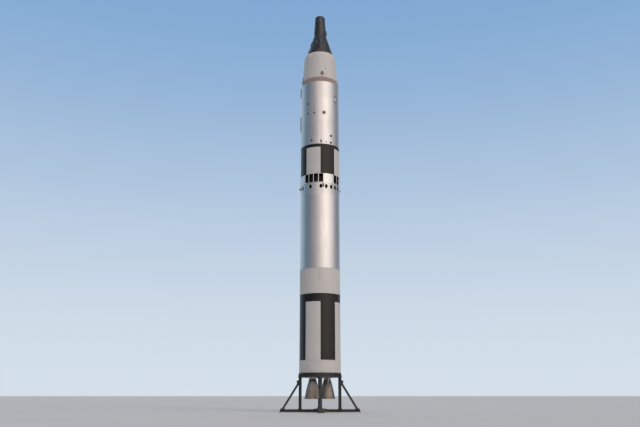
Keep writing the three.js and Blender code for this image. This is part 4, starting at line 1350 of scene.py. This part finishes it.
round_end = [(EAR_R * math.cos(a), EAR_R * math.sin(a)) for a in np.linspace(-0.2, math.pi + 0.2, 10)]
ear_outline = [(-EAR_R, -0.085), (0.036, -0.085), *round_end]
hinge_ears = [
    placed(spin(90, "X") @ Matrix.Diagonal((1, 1, -1, 1)), prism(ear_outline, *span))
    for span in ((-EAR_END, -EAR_START), (EAR_START, EAR_END))
]
hinge_straps = [
    block((-0.060, -KNUCKLE_HALF, -0.020), (-0.018, KNUCKLE_HALF, -0.004)),
    block((-0.095, -KNUCKLE_HALF, -0.048), (-0.034, KNUCKLE_HALF, -0.006)),
]
hinge_pin = rod((0, -KNUCKLE_HALF - 0.015, 0), (0, KNUCKLE_HALF + 0.015, 0), PIN_R, 24)
frame_screws = [placed(shift(x, y, 0.010), rivet(0.006)) for x, y in window_outline(0.019)[::3]]
for name, side in SIDES.items():
    place = hatch_place(side)
    hinges = [on_hinge(side, share) for share in HINGE_PLACES]
    handed = Matrix.Diagonal((side, 1, 1, 1))
    panel = carved(
        outer_cone, ("DIFFERENCE", inner_cone), ("INTERSECT", placed(place, hatch_prism(-HATCH_GAP))),
        ("DIFFERENCE", placed(place, window_prism(0, -0.3, 0.2))),
    )
    window_frame = carved(
        placed(place, window_prism(0.035, -0.012, 0.010)),
        ("DIFFERENCE", placed(place, window_prism(0.001, -0.3, 0.2))),
    )
    straps = [
        placed(hinge, placed(handed, *hinge_straps), tube(BORE_R, KNUCKLE_R, KNUCKLE_HALF))
        for hinge in hinges
    ]
    hatch = piece(
        f"hatch_{name}_door",
        [
            (charcoal, panel, window_frame, *straps),
            (rivet_finish, placed(place, *frame_screws)),
        ],
        f"hatch_{name}", f"hatch_{name}", bevel=0.0015,
    )
    repaint(hatch, cabin_lining, in_cabin)
    piece(
        f"hatch_{name}_hinge_ears",
        [
            (charcoal, *(placed(hinge @ handed, *hinge_ears) for hinge in hinges)),
            (bolt_metal, *(placed(hinge, hinge_pin) for hinge in hinges)),
        ],
        bevel=0.001,
    )


# Window panes: clear glass with rounded corners, one set back in the window of each hatch, under its
# bolted frame.
@finish("window_glass")
def window_glass(place):
    return {
        "Base Color": place.noise(3.0).blend((0.50, 0.55, 0.58), (0.56, 0.60, 0.62)),
        "Roughness": 0.03,
        "Transmission Weight": 0.85,
        "IOR": 1.45,
    }


for name, side in SIDES.items():
    piece(
        f"hatch_{name}_window",
        [(window_glass, placed(hatch_place(side), window_prism(-0.0004, -0.045, -0.025)))],
        f"hatch_pane_{name}", f"hatch_{name}", bevel=0.002,
    )


# Seats: a metal trough for each of the crew, who lie on their backs facing the hatches, with three sewn
# cushions, two straps over the chest and a buckled one across. y runs from the head to the knees.
@finish("seat_weave")
def weave(place):
    fine = place.stretched(900, 900, 900)
    across = fine.axis("X").maths("SINE") * fine.axis("Y").maths("SINE")
    fade = place.noise(6.0, 4.0)
    return {
        "Base Color": (fade * 0.8 + across * 0.1).blend((0.16, 0.14, 0.11), (0.30, 0.27, 0.22)),
        "Roughness": 0.92,
        "Sheen Weight": 0.25,
        "Normal": across.bumps(0.4, 0.001),
    }


@finish("strap_webbing")
def webbing(place):
    ribs = (place.axis("Y") * 1400).maths("SINE")
    return {
        "Base Color": (ribs * 0.2 + place.noise(30.0)).blend((0.10, 0.10, 0.11), (0.19, 0.19, 0.20)),
        "Roughness": 0.85,
        "Normal": ribs.bumps(0.4, 0.001),
    }


def cushion(width, length, thickness, steps=12):
    """A stuffed pad on z = 0: crowned, its sides pulled in between the corners, a welt round its seam."""
    shares = [-1 + 2 * k / steps for k in range(steps + 1)]

    def spot(u, v, top):
        x = width / 2 * u * (1 - 0.05 * (1 - v * v) * abs(u))
        y = length / 2 * v * (1 - 0.05 * (1 - u * u) * abs(v))
        swell = (1 - abs(u) ** 5) ** 0.5 * (1 - abs(v) ** 5) ** 0.5
        seam = 0.42 * thickness
        channel = 0.12 * thickness * math.exp(-((abs(u) - 0.36) / 0.05) ** 2)
        return x, y, seam + (thickness - seam - channel) * swell if top else seam * (1 - swell ** 0.7)

    corners, faces = [], []
    for top in (False, True):
        first = len(corners)
        corners += [spot(u, v, top) for v in shares for u in shares]
        for row in range(steps):
            for column in range(steps):
                k = first + row * (steps + 1) + column
                faces.append((k, k + 1, k + steps + 2, k + steps + 1))
    edge = [spot(u, -1, True) for u in shares] + [spot(1, v, True) for v in shares[1:]]
    edge += [spot(u, 1, True) for u in shares[-2::-1]] + [spot(-1, v, True) for v in shares[-2:0:-1]]
    welt = [rod(here, there, 0.006, 6) for here, there in zip(edge, edge[1:] + edge[:1])]
    return joined((corners, faces), *welt)


trough_paint = mottled("seat_trough_paint", 9.0, (0.20, 0.21, 0.20), (0.27, 0.28, 0.27), 0.5)
SEAT_X, HALF, PAN_TOP, STRAP_LOW = 0.265, 0.21, floor_z + 0.036, floor_z + 0.112
trough = [
    block((-HALF, -0.635, floor_z + 0.002), (HALF, 0.435, floor_z + 0.035)),
    block((-HALF, -0.64, floor_z + 0.03), (HALF, -0.615, 28.64)),
    block((-HALF, 0.405, floor_z + 0.03), (HALF, 0.435, 28.94)),
    *(slab(0.02, 0.86, floor_z + 0.03, 28.56, end * (HALF - 0.01), -0.02) for end in SIGNS),
]
PADS = {  # width, length, thickness, place
    "back": (0.37, 0.70, 0.085, shift(0, -0.07, PAN_TOP)),
    "head": (0.30, 0.14, 0.12, shift(0, -0.53, PAN_TOP)),
    "base": (0.37, 0.40, 0.075, shift(0, 0.403, 28.73) @ spin(90, "X")),
}
straps = [slab(0.044, 0.70, STRAP_LOW, STRAP_LOW + 0.004, x, -0.09) for x in (-0.10, 0.10)]
straps.append(slab(0.38, 0.04, STRAP_LOW, STRAP_LOW + 0.005, 0, 0.16))
buckle = lathe([(0, 0), (0.04, 0), (0.04, 0.012), (0.034, 0.016), (0, 0.016)], 24)
inward = spin(HATCH_MIDDLE)
for name, side in SIDES.items():
    place = inward @ shift(side * SEAT_X, 0, 0)
    piece(
        f"seat_{name}_trough", [(trough_paint, placed(place, *trough))], f"seat_{name}",
        bevel=0.008,
    )
    for pad, (width, length, thickness, spot) in PADS.items():
        sewn = placed(place @ spot, cushion(width, length, thickness))
        made = piece(f"seat_{name}_{pad}_cushion", [(weave, sewn)], sharp=80)
    piece(
        f"seat_{name}_straps",
        [
            (webbing, placed(place, *straps)),
            (bolt_metal, placed(place @ shift(0, 0.16, STRAP_LOW + 0.004), buckle)),
        ],
    )

# Instrument panel: a shelf of painted sheet across the cabin over the seats, with plain dials in rims and
# keys on its underside, which faces the crew.
panel_paint = mottled("panel_paint", 12.0, (0.045, 0.05, 0.052), (0.075, 0.08, 0.082), 0.55)
dial_paint = mottled("dial_faces", 40.0, (0.55, 0.55, 0.50), (0.68, 0.67, 0.62), 0.35)
PANEL_EDGE, DIAL_PITCH = 0.12, 0.13
DIAL_ROWS = [(0.02, 0.045), (0.15, 0.035), (0.26, 0.035)]  # place across the shelf, radius
low, high = heights("instrument_panel")
shelf_wall = [(cabin_r(z, CABIN_WALL + 0.001), z) for z in (low, high)]
in_front = placed(inward, block((-1, -1, low - 0.01), (1, -PANEL_EDGE, high + 0.01)))
shelf = carved(lathe([(0, low), *shelf_wall, (0, high)], 96), ("DIFFERENCE", in_front))
dials, rims, keys = [], [], []
for x in (DIAL_PITCH * column for column in range(-3, 4)):
    for y, radius in DIAL_ROWS:
        if math.hypot(x, y) + radius > cabin_r(low, CABIN_WALL + 0.06):
            continue
        underside = inward @ shift(x, y, low) @ spin(180, "X")
        ring = [(radius, -0.002), (radius + 0.008, -0.002), (radius + 0.006, 0.010), (radius, 0.010)]
        dials.append(placed(underside, collar(0, radius, 0, 0.003, 24)))
        rims.append(placed(underside, lathe(ring, 24)))
        keys += [placed(underside, slab(0.014, 0.014, 0, 0.014, at, -0.065)) for at in (-0.028, 0, 0.028)]
piece(
    "instrument_board",
    [(panel_paint, shelf, *keys), (dial_paint, *dials), (bolt_metal, *rims)],
    "instrument_panel", bevel=0.0015,
)

# Control section and nose: a drum with pairs of small nozzles, then a long beaded cone with a rounded
# cover, and an oval fairing over the sensor at one side.
low, high = heights("control_section")
CONTROL_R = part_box("control_section")[1].x
NOZZLE_SPREAD = 5  # degrees each way from a pair's middle
drum_bands = [(low, low + 0.05, 0.004), (high - 0.05, high, 0.004)]
drum_plates = [wall_plate(turn, 0.27, low + 0.08, high - 0.08, 0.004, CONTROL_R, 6) for turn in every(8)]
bells, throats = nozzles(0.035, [
    on_wall(turn + side * NOZZLE_SPREAD, CONTROL_R - 0.018, low + 0.22)
    for turn in every(8, 22.5)
    for side in SIGNS
])
piece(
    "control_drum",
    [
        (charcoal, lathe([(0, low), *bands(CONTROL_R, drum_bands), (0, high)], 96), *drum_plates),
        (heated, bells),
        (dark_cover, throats),
    ],
    "control_section",
)

low, high = heights("nose_section")
NOSE_R, NOSE_TOP_R = CONTROL_R - 0.012, 0.405
tall = high - low
slope = (NOSE_R - NOSE_TOP_R) / tall
places = [
    (0, 0.004), (0.05, 0.004), (0.054, 0), (0.40, 0), (0.404, 0.004), (0.44, 0.004), (0.444, 0), (0.83, 0),
    (0.834, 0.004), (0.87, 0.004), (0.874, 0), (tall - 0.04, 0), (tall - 0.036, 0.004), (tall, 0.004),
]
nose_battens = [
    round_wall(every(24, 5), NOSE_R - 0.0005, low, batten(0.02, foot, top, 0.004), lean=math.atan(slope))
    for foot, top in ((0.07, 0.39), (0.46, 0.82), (0.89, tall - 0.05))
]
nose = lathe([(0, low), *on_cone(NOSE_R, low, slope, places), (0, high)], 96)
piece("nose_cone", [(charcoal, nose, *nose_battens)], "nose_section")

low, high = heights("nose_cover")
curve = [
    (NOSE_TOP_R * math.cos(a), low + (high - low) * math.sin(a))
    for a in np.linspace(0.12, math.pi / 2 - 0.1, 9)
]
cover = lathe([(0, low), (NOSE_TOP_R, low), *curve, (0, high)], 96)
strips = round_wall(every(8), NOSE_TOP_R, low, batten(0.03, 0, 0.03, 0.004))
piece("nose_cover_shell", [(charcoal, cover, strips)], "nose_cover")

SENSOR_TURN, SENSOR_Z, SENSOR_SIZE, SENSOR_SINK = 68, 30.47, (0.15, 0.33, 0.13), 0.03
sensor_spot = on_wall(SENSOR_TURN, CONTROL_R - SENSOR_SINK, SENSOR_Z)
hull = [
    (0, CABIN_LOW), (CABIN_R + 0.001, CABIN_LOW), (CABIN_TOP_R + 0.001, CABIN_HIGH),
    (CONTROL_R + 0.005, CABIN_HIGH + 0.001), (CONTROL_R + 0.005, 30.73), (NOSE_R + 0.005, 30.731),
    (NOSE_TOP_R + 0.005, 31.95), (0, 31.95),
]
blister = placed(sensor_spot @ Matrix.Diagonal((*SENSOR_SIZE, 1)), half_dome(10, 48))
lens = lathe([(0, 0), (0.035, 0), (0.035, 0.02), (0.028, 0.024), (0, 0.024)], 24)
lens_spot = on_wall(SENSOR_TURN, CONTROL_R - SENSOR_SINK + SENSOR_SIZE[2] - 0.014, SENSOR_Z + 0.02)
piece(
    "sensor_blister",
    [(charcoal, carved(blister, ("DIFFERENCE", lathe(hull, 96)))), (dark_cover, placed(lens_spot, lens))],
    "sensor_fairing",
)


# First stage engine. The thrust frame is a ring of channel and crossed I-beams inside the skirt. Under it
# hang two pairs of gimbal brackets and the barrels of four actuators.
@finish("engine_steelwork")
def engine_steel(place):
    scuffs = place.noise(11.0, 8.0).between(0.55, 0.7)
    paint = place.noise(2.0).blend((0.17, 0.18, 0.18), (0.24, 0.25, 0.24))
    return {
        "Base Color": (scuffs * 0.6).blend(paint, (0.40, 0.40, 0.39)),
        "Metallic": 0.4,
        "Roughness": 0.42 + scuffs * 0.1,
    }


ENGINE_TURNS = {"back": 45, "front": 225}  # from +X
GIMBAL_OUT, GIMBAL_Z = 0.78, 3.06
FRAME_LOW, FRAME_HIGH, CHANNEL_R, CHANNEL_WEB, CHANNEL_FLANGE = 3.20, 3.40, 1.385, 1.445, 0.015
BEAM_HALF_LENGTH, SIDE_BEAM_HALF, FRAME_BEAM_WIDTH = 1.40, 1.07, 0.25
GIMBAL_EAR_OUT, GIMBAL_EAR_THICKNESS, GIMBAL_EAR_HALF, PIN_BORE_R = 0.105, 0.04, 0.06, 0.031
ACTUATOR_ARM, BARREL_R, ROD_BORE_R = 0.42, 0.055, 0.023
ACTUATOR_SPOTS = {"pitch": (0, ACTUATOR_ARM), "yaw": (-ACTUATOR_ARM, 0)}
HANG = FRAME_LOW - GIMBAL_Z  # the frame's underside in an engine's own place


def engine_place(name):
    """One engine's frame: x points out from the rocket's axis, and the origin is the gimbal's centre."""
    return spin(ENGINE_TURNS[name]) @ shift(GIMBAL_OUT, 0, GIMBAL_Z)


def gimbal_ear(low, reach):
    """A bracket ear with a round end about its bore, in the xy plane, with its root at y = low."""
    round_end = [(GIMBAL_EAR_HALF * math.cos(a), reach * math.sin(a)) for a in np.linspace(0, math.pi, 9)]
    outline = [(-GIMBAL_EAR_HALF, low), (GIMBAL_EAR_HALF, low), *round_end]
    return eye_plate(outline, (0, 0), PIN_BORE_R, GIMBAL_EAR_THICKNESS)


wall = SKIRT_INNER_R - 0.0004
channel = [
    (CHANNEL_R, FRAME_LOW), (wall, FRAME_LOW), (wall, FRAME_HIGH), (CHANNEL_R, FRAME_HIGH),
    (CHANNEL_R, FRAME_HIGH - CHANNEL_FLANGE), (CHANNEL_WEB, FRAME_HIGH - CHANNEL_FLANGE),
    (CHANNEL_WEB, FRAME_LOW + CHANNEL_FLANGE), (CHANNEL_R, FRAME_LOW + CHANNEL_FLANGE),
]
section = h_section(FRAME_BEAM_WIDTH, FRAME_HIGH - FRAME_LOW, 0.016, 0.014)
lying = shift(0, 0, (FRAME_LOW + FRAME_HIGH) / 2) @ spin(90, "X")
stiffeners = [slab(0.24, 0.01, FRAME_LOW + 0.016, FRAME_HIGH - 0.016, y=y) for y in (-1.1, -0.45, 0.45, 1.1)]
cross_beam = placed(lying, prism(section, -BEAM_HALF_LENGTH, BEAM_HALF_LENGTH))
mounting = [
    placed(shift(0, 0, -GIMBAL_Z) @ lying, prism(section, -SIDE_BEAM_HALF, SIDE_BEAM_HALF)),
    slab(0.29, 0.16, 0.085, HANG),
]
for side in SIGNS:
    ear_spot = shift(side * GIMBAL_EAR_OUT, 0, 0) @ spin(-90) @ spin(-90, "X")
    mounting.append(placed(ear_spot, gimbal_ear(-0.09, 0.055)))
    mounting.append(slab(0.012, 0.10, 0.02, 0.09, x=side * 0.135))
barrel = [
    (ROD_BORE_R, -0.062), (0.036, -0.062), (0.040, -0.056), (0.040, -0.040), (BARREL_R, -0.036),
    (BARREL_R, -0.018), (0.050, -0.014), (0.050, 0.105), (BARREL_R, 0.110), (BARREL_R, HANG),
    (ROD_BORE_R, HANG),
]
barrels = [placed(shift(x, y, 0), lathe(barrel, 32)) for x, y in ACTUATOR_SPOTS.values()]
engine_places = [engine_place(name) for name in ENGINE_TURNS]
piece(
    "thrust_frame_beams",
    [
        (
            engine_steel, lathe(channel, FINE), round_axis((45, 135), cross_beam, *stiffeners),
            *(placed(place, *mounting) for place in engine_places),
        ),
        (bolt_metal, *(placed(place, *barrels) for place in engine_places)),
    ],
    "thrust_frame", bevel=0.003,
)


# Gimbal crosses and thrust chambers. A chamber's wall is a ring of fine tubes side by side, held by
# hoops, with a fuel ring round its lip and a flanged dome on top. It is sooty inside.
@finish("chamber_tubes")
def tubes(place):
    drop = place.axis("Z")
    heat = place.noise(2.6, 4.0) * 0.6 + drop.between(2.7, 1.0) * 0.4
    brushed = place.stretched(30, 30, 2).noise(3.0)
    steel = brushed.blend((0.30, 0.29, 0.28), (0.47, 0.45, 0.43))
    return {
        "Base Color": (heat.between(0.45, 0.75) * 0.7).blend(steel, (0.30, 0.23, 0.18)),
        "Metallic": 0.95,
        "Roughness": 0.30 + brushed * 0.2,
    }


sooty = mottled("sooty_chamber", 6.0, (0.020, 0.018, 0.017), (0.075, 0.066, 0.060), 0.7, 0.3, detail=6.0)
CHAMBER_R, CHAMBER_WALL, FACE_Z, TOP_Z = 0.265, 0.025, -0.30, -0.11
BELL = ((0.197, -0.72), (0.377, -1.0814), (0.557, -2.11))  # throat, bend, lip
TUBE_COUNT, TUBE_STEPS = 90, 4
ROD_R = 0.022
TUBE_COLUMNS = TUBE_COUNT * TUBE_STEPS


def tubed_wall(inner, outer):
    """A closed wall of upright tubes between two outlines of (radius, height), its inner faces first."""
    crown = [math.sqrt(1 - (1 - 2 * k / TUBE_STEPS) ** 2) for k in range(TUBE_STEPS)]
    rings = []
    sides = [(*point, True) for point in inner] + [(*point, False) for point in reversed(outer)]
    for radius, z, inside in sides:
        depth = 0.16 * math.tau * radius / TUBE_COUNT
        ring = []
        for k in range(TUBE_COLUMNS):
            swell = depth * crown[k % TUBE_STEPS]
            r = radius - swell if inside else radius - depth + swell
            angle = math.tau * k / TUBE_COLUMNS
            ring.append((r * math.cos(angle), r * math.sin(angle), z))
        rings.append(ring)
    return lofted(rings, closed=True)


def pipe(points, radius, facets=16, inner=0.0):
    """A round pipe along points, closed at its ends, or open through if it has an inner radius."""
    spots = [Vector(point) for point in points]
    turns = [math.tau * i / facets for i in range(facets)]
    outside, inside, side = [], [], None
    for k, spot in enumerate(spots):
        along = (spots[min(k + 1, len(spots) - 1)] - spots[max(k - 1, 0)]).normalized()
        side = side or along.orthogonal().normalized()
        side = (side - along * side.dot(along)).normalized()
        other = along.cross(side)
        for r, rings in ((radius, outside), (inner, inside)):
            rings.append([spot + side * r * math.cos(a) + other * r * math.sin(a) for a in turns])
    return lofted(outside + inside[::-1], closed=True) if inner else lofted(outside)


def arc(middle, start, end, radius, steps=8):
    """Points round an arc in the xz plane, with angles in degrees from +x towards +z."""
    angles = [math.radians(start + (end - start) * k / steps) for k in range(steps + 1)]
    return [(middle[0] + radius * math.cos(a), middle[1], middle[2] + radius * math.sin(a)) for a in angles]


def torus(radius, z, thickness):
    turns = [math.tau * k / 12 for k in range(12)]
    return lathe([(radius + thickness * math.cos(a), z + thickness * math.sin(a)) for a in turns], 96)


outer_r = CHAMBER_R + CHAMBER_WALL
inner_bell = bell_curve(*BELL, 18)
inner_side = [(CHAMBER_R, FACE_Z), (CHAMBER_R, -0.50), (CHAMBER_R - 0.03, -0.61), *inner_bell]
outer_side = [(outer_r, FACE_Z + 0.01), (outer_r, -0.50), (outer_r - 0.03, -0.61)]
outer_side += [(radius + BELL_WALL, z) for radius, z in inner_bell]
hoops = [
    lathe([(r + 0.012, z - 0.024), (r + 0.03, z - 0.018), (r + 0.03, z + 0.018), (r + 0.008, z + 0.024)], 96)
    for r, z in bell_curve(*BELL, 7)[2:]
]
dome = [
    (0, FACE_Z), (0.28, FACE_Z), (0.35, -0.282), (0.35, -0.245), (0.345, -0.240), (0.35, -0.235),
    (0.35, -0.205), (0.30, -0.198), (0.29, -0.17), (0.25, -0.140), (0.20, -0.120), (0.12, TOP_Z), (0, TOP_Z),
]
inlet_path = [(0.16, 0, -0.15), (0.26, 0, -0.15), *arc((0.33, 0, -0.22), 90, 0, 0.07, 6), (0.40, 0, -0.38)]
inlet_flange = placed(shift(0.40, 0, -0.36), collar(0, 0.05, -0.02, 0.02, 24))
riser_path = [(radius + BELL_WALL + 0.020, 0, z) for radius, z in inner_bell[2::2]][::-1]
riser = pipe([*riser_path, (0.29, 0, -0.62), (0.315, 0, -0.46)], 0.012, 10)
hot_metal = [
    collar(0.548, 0.578, -2.110, -2.085, 96), *hoops, torus(outer_r + 0.022, -0.42, 0.030),
    lathe([(0.212, -0.76), (0.232, -0.75), (0.232, -0.69), (0.216, -0.68)], 64),
    round_axis((20, 110, 200, 290), riser), torus(0.583, -2.055, 0.022),
]
castings = [
    *(placed(shift(0, y * GIMBAL_EAR_OUT, 0) @ spin(90, "X"), gimbal_ear(-0.15, 0.05)) for y in SIGNS),
    slab(0.08, 0.18, -0.28, -0.23, y=0.375), slab(0.06, 0.05, -0.23, -0.21, y=0.42),
    slab(0.18, 0.08, -0.28, -0.23, x=-0.375), slab(0.05, 0.06, -0.23, -0.21, x=-0.42),
    lathe(dome, 64), round_axis((35, -60), pipe(inlet_path, 0.034, 20), inlet_flange),
]
flange_bolts = round_axis(every(30), placed(shift(0.325, 0, -0.2015), bolt(0.009)))
pins = [rod((-x, -y, 0), (x, y, 0), 0.030, 32) for x, y in ((0.123, 0), (0, 0.123))]
rod_eye = shift(0, 0, -0.17)
shank = lathe([(0, -0.145), (0.024, -0.145), (ROD_R, -0.11), (ROD_R, 0.06), (0, 0.06)], 32)
for name in ENGINE_TURNS:
    place = engine_place(name)
    piece(
        f"gimbal_cross_{name}_forging",
        [(engine_steel, placed(place, slab(0.15, 0.15, -0.045, 0.045))), (bolt_metal, placed(place, *pins))],
        f"gimbal_cross_{name}", f"gimbal_cross_{name}", bevel=0.006,
    )
    chamber = piece(
        f"thrust_chamber_{name}_bell",
        [
            (tubes, placed(place, tubed_wall(inner_side, outer_side))),
            (sooty, placed(place, collar(0, 0.26, FACE_Z - 0.004, FACE_Z, 64))),
            (heated, placed(place, *hot_metal)),
            (engine_steel, placed(place, *castings)),
            (bolt_metal, placed(place, flange_bolts)),
        ],
        f"thrust_chamber_{name}", f"thrust_chamber_{name}",
    )
    for face in chamber.data.polygons[:(len(inner_side) - 1) * TUBE_COLUMNS]:
        face.material_index = chamber.data.materials.find(sooty.name)
    for drive, (x, y) in ACTUATOR_SPOTS.items():
        spot = place @ shift(x, y, 0)
        piece(
            f"{drive}_rod_{name}_shaft",
            [
                (bolt_metal, placed(spot @ rod_eye, tube(0.012, 0.030, 0.025)), placed(spot, shank)),
                (dark_cover, placed(spot @ rod_eye, rod((0, -0.024, 0), (0, 0.024, 0), 0.012, 20))),
            ],
            f"{drive}_rod_{name}", f"{drive}_rod_{name}", bevel=0.001,
        )

# Turbopumps: turned metal housings that hang from the frame between the chambers, each with a bolted
# flange and a curved exhaust duct.
PUMP_OUT, DUCT_OUT, DUCT_R, DUCT_MOUTH_R, DUCT_END = 0.62, 0.19, 0.078, 0.066, 2.13
housing = [
    (0, 2.61), (0.06, 2.61), (0.085, 2.625), (0.09, 2.66), (0.14, 2.665), (0.165, 2.69), (0.17, 2.725),
    (0.165, 2.76), (0.135, 2.785), (0.13, 2.84), (0.15, 2.845), (0.15, 2.875), (0.17, 2.89), (0.195, 2.92),
    (0.20, 2.995), (0.195, 3.05), (0.17, 3.085), (0.12, 3.10), (0.12, 3.17), (0.14, 3.17), (0.14, FRAME_LOW),
    (0, FRAME_LOW),
]
duct_path = [(0.08, 0, 2.725), *arc((0.11, 0, 2.645), 90, 0, 0.08, 8), (DUCT_OUT, 0, DUCT_END)]
duct_rings = [
    placed(shift(DUCT_OUT, 0, z), collar(DUCT_R - 0.004, DUCT_R + 0.016, -0.012, 0.012, 32))
    for z in (2.62, 2.40, DUCT_END + 0.015)
]
pump_bolts = round_axis(every(16), placed(shift(0.141, 0, 2.845) @ spin(180, "X"), bolt(0.008)))
for name, turn in ENGINE_TURNS.items():
    place = spin(turn + 90) @ shift(PUMP_OUT, 0, 0)
    piece(
        f"turbopump_{name}_housing",
        [
            (engine_steel, placed(place, lathe(housing, 64))),
            (heated, placed(place, pipe(duct_path, DUCT_R, 32, DUCT_MOUTH_R), *duct_rings)),
            (bolt_metal, placed(place, pump_bolts)),
        ],
        f"turbopump_{name}",
    )
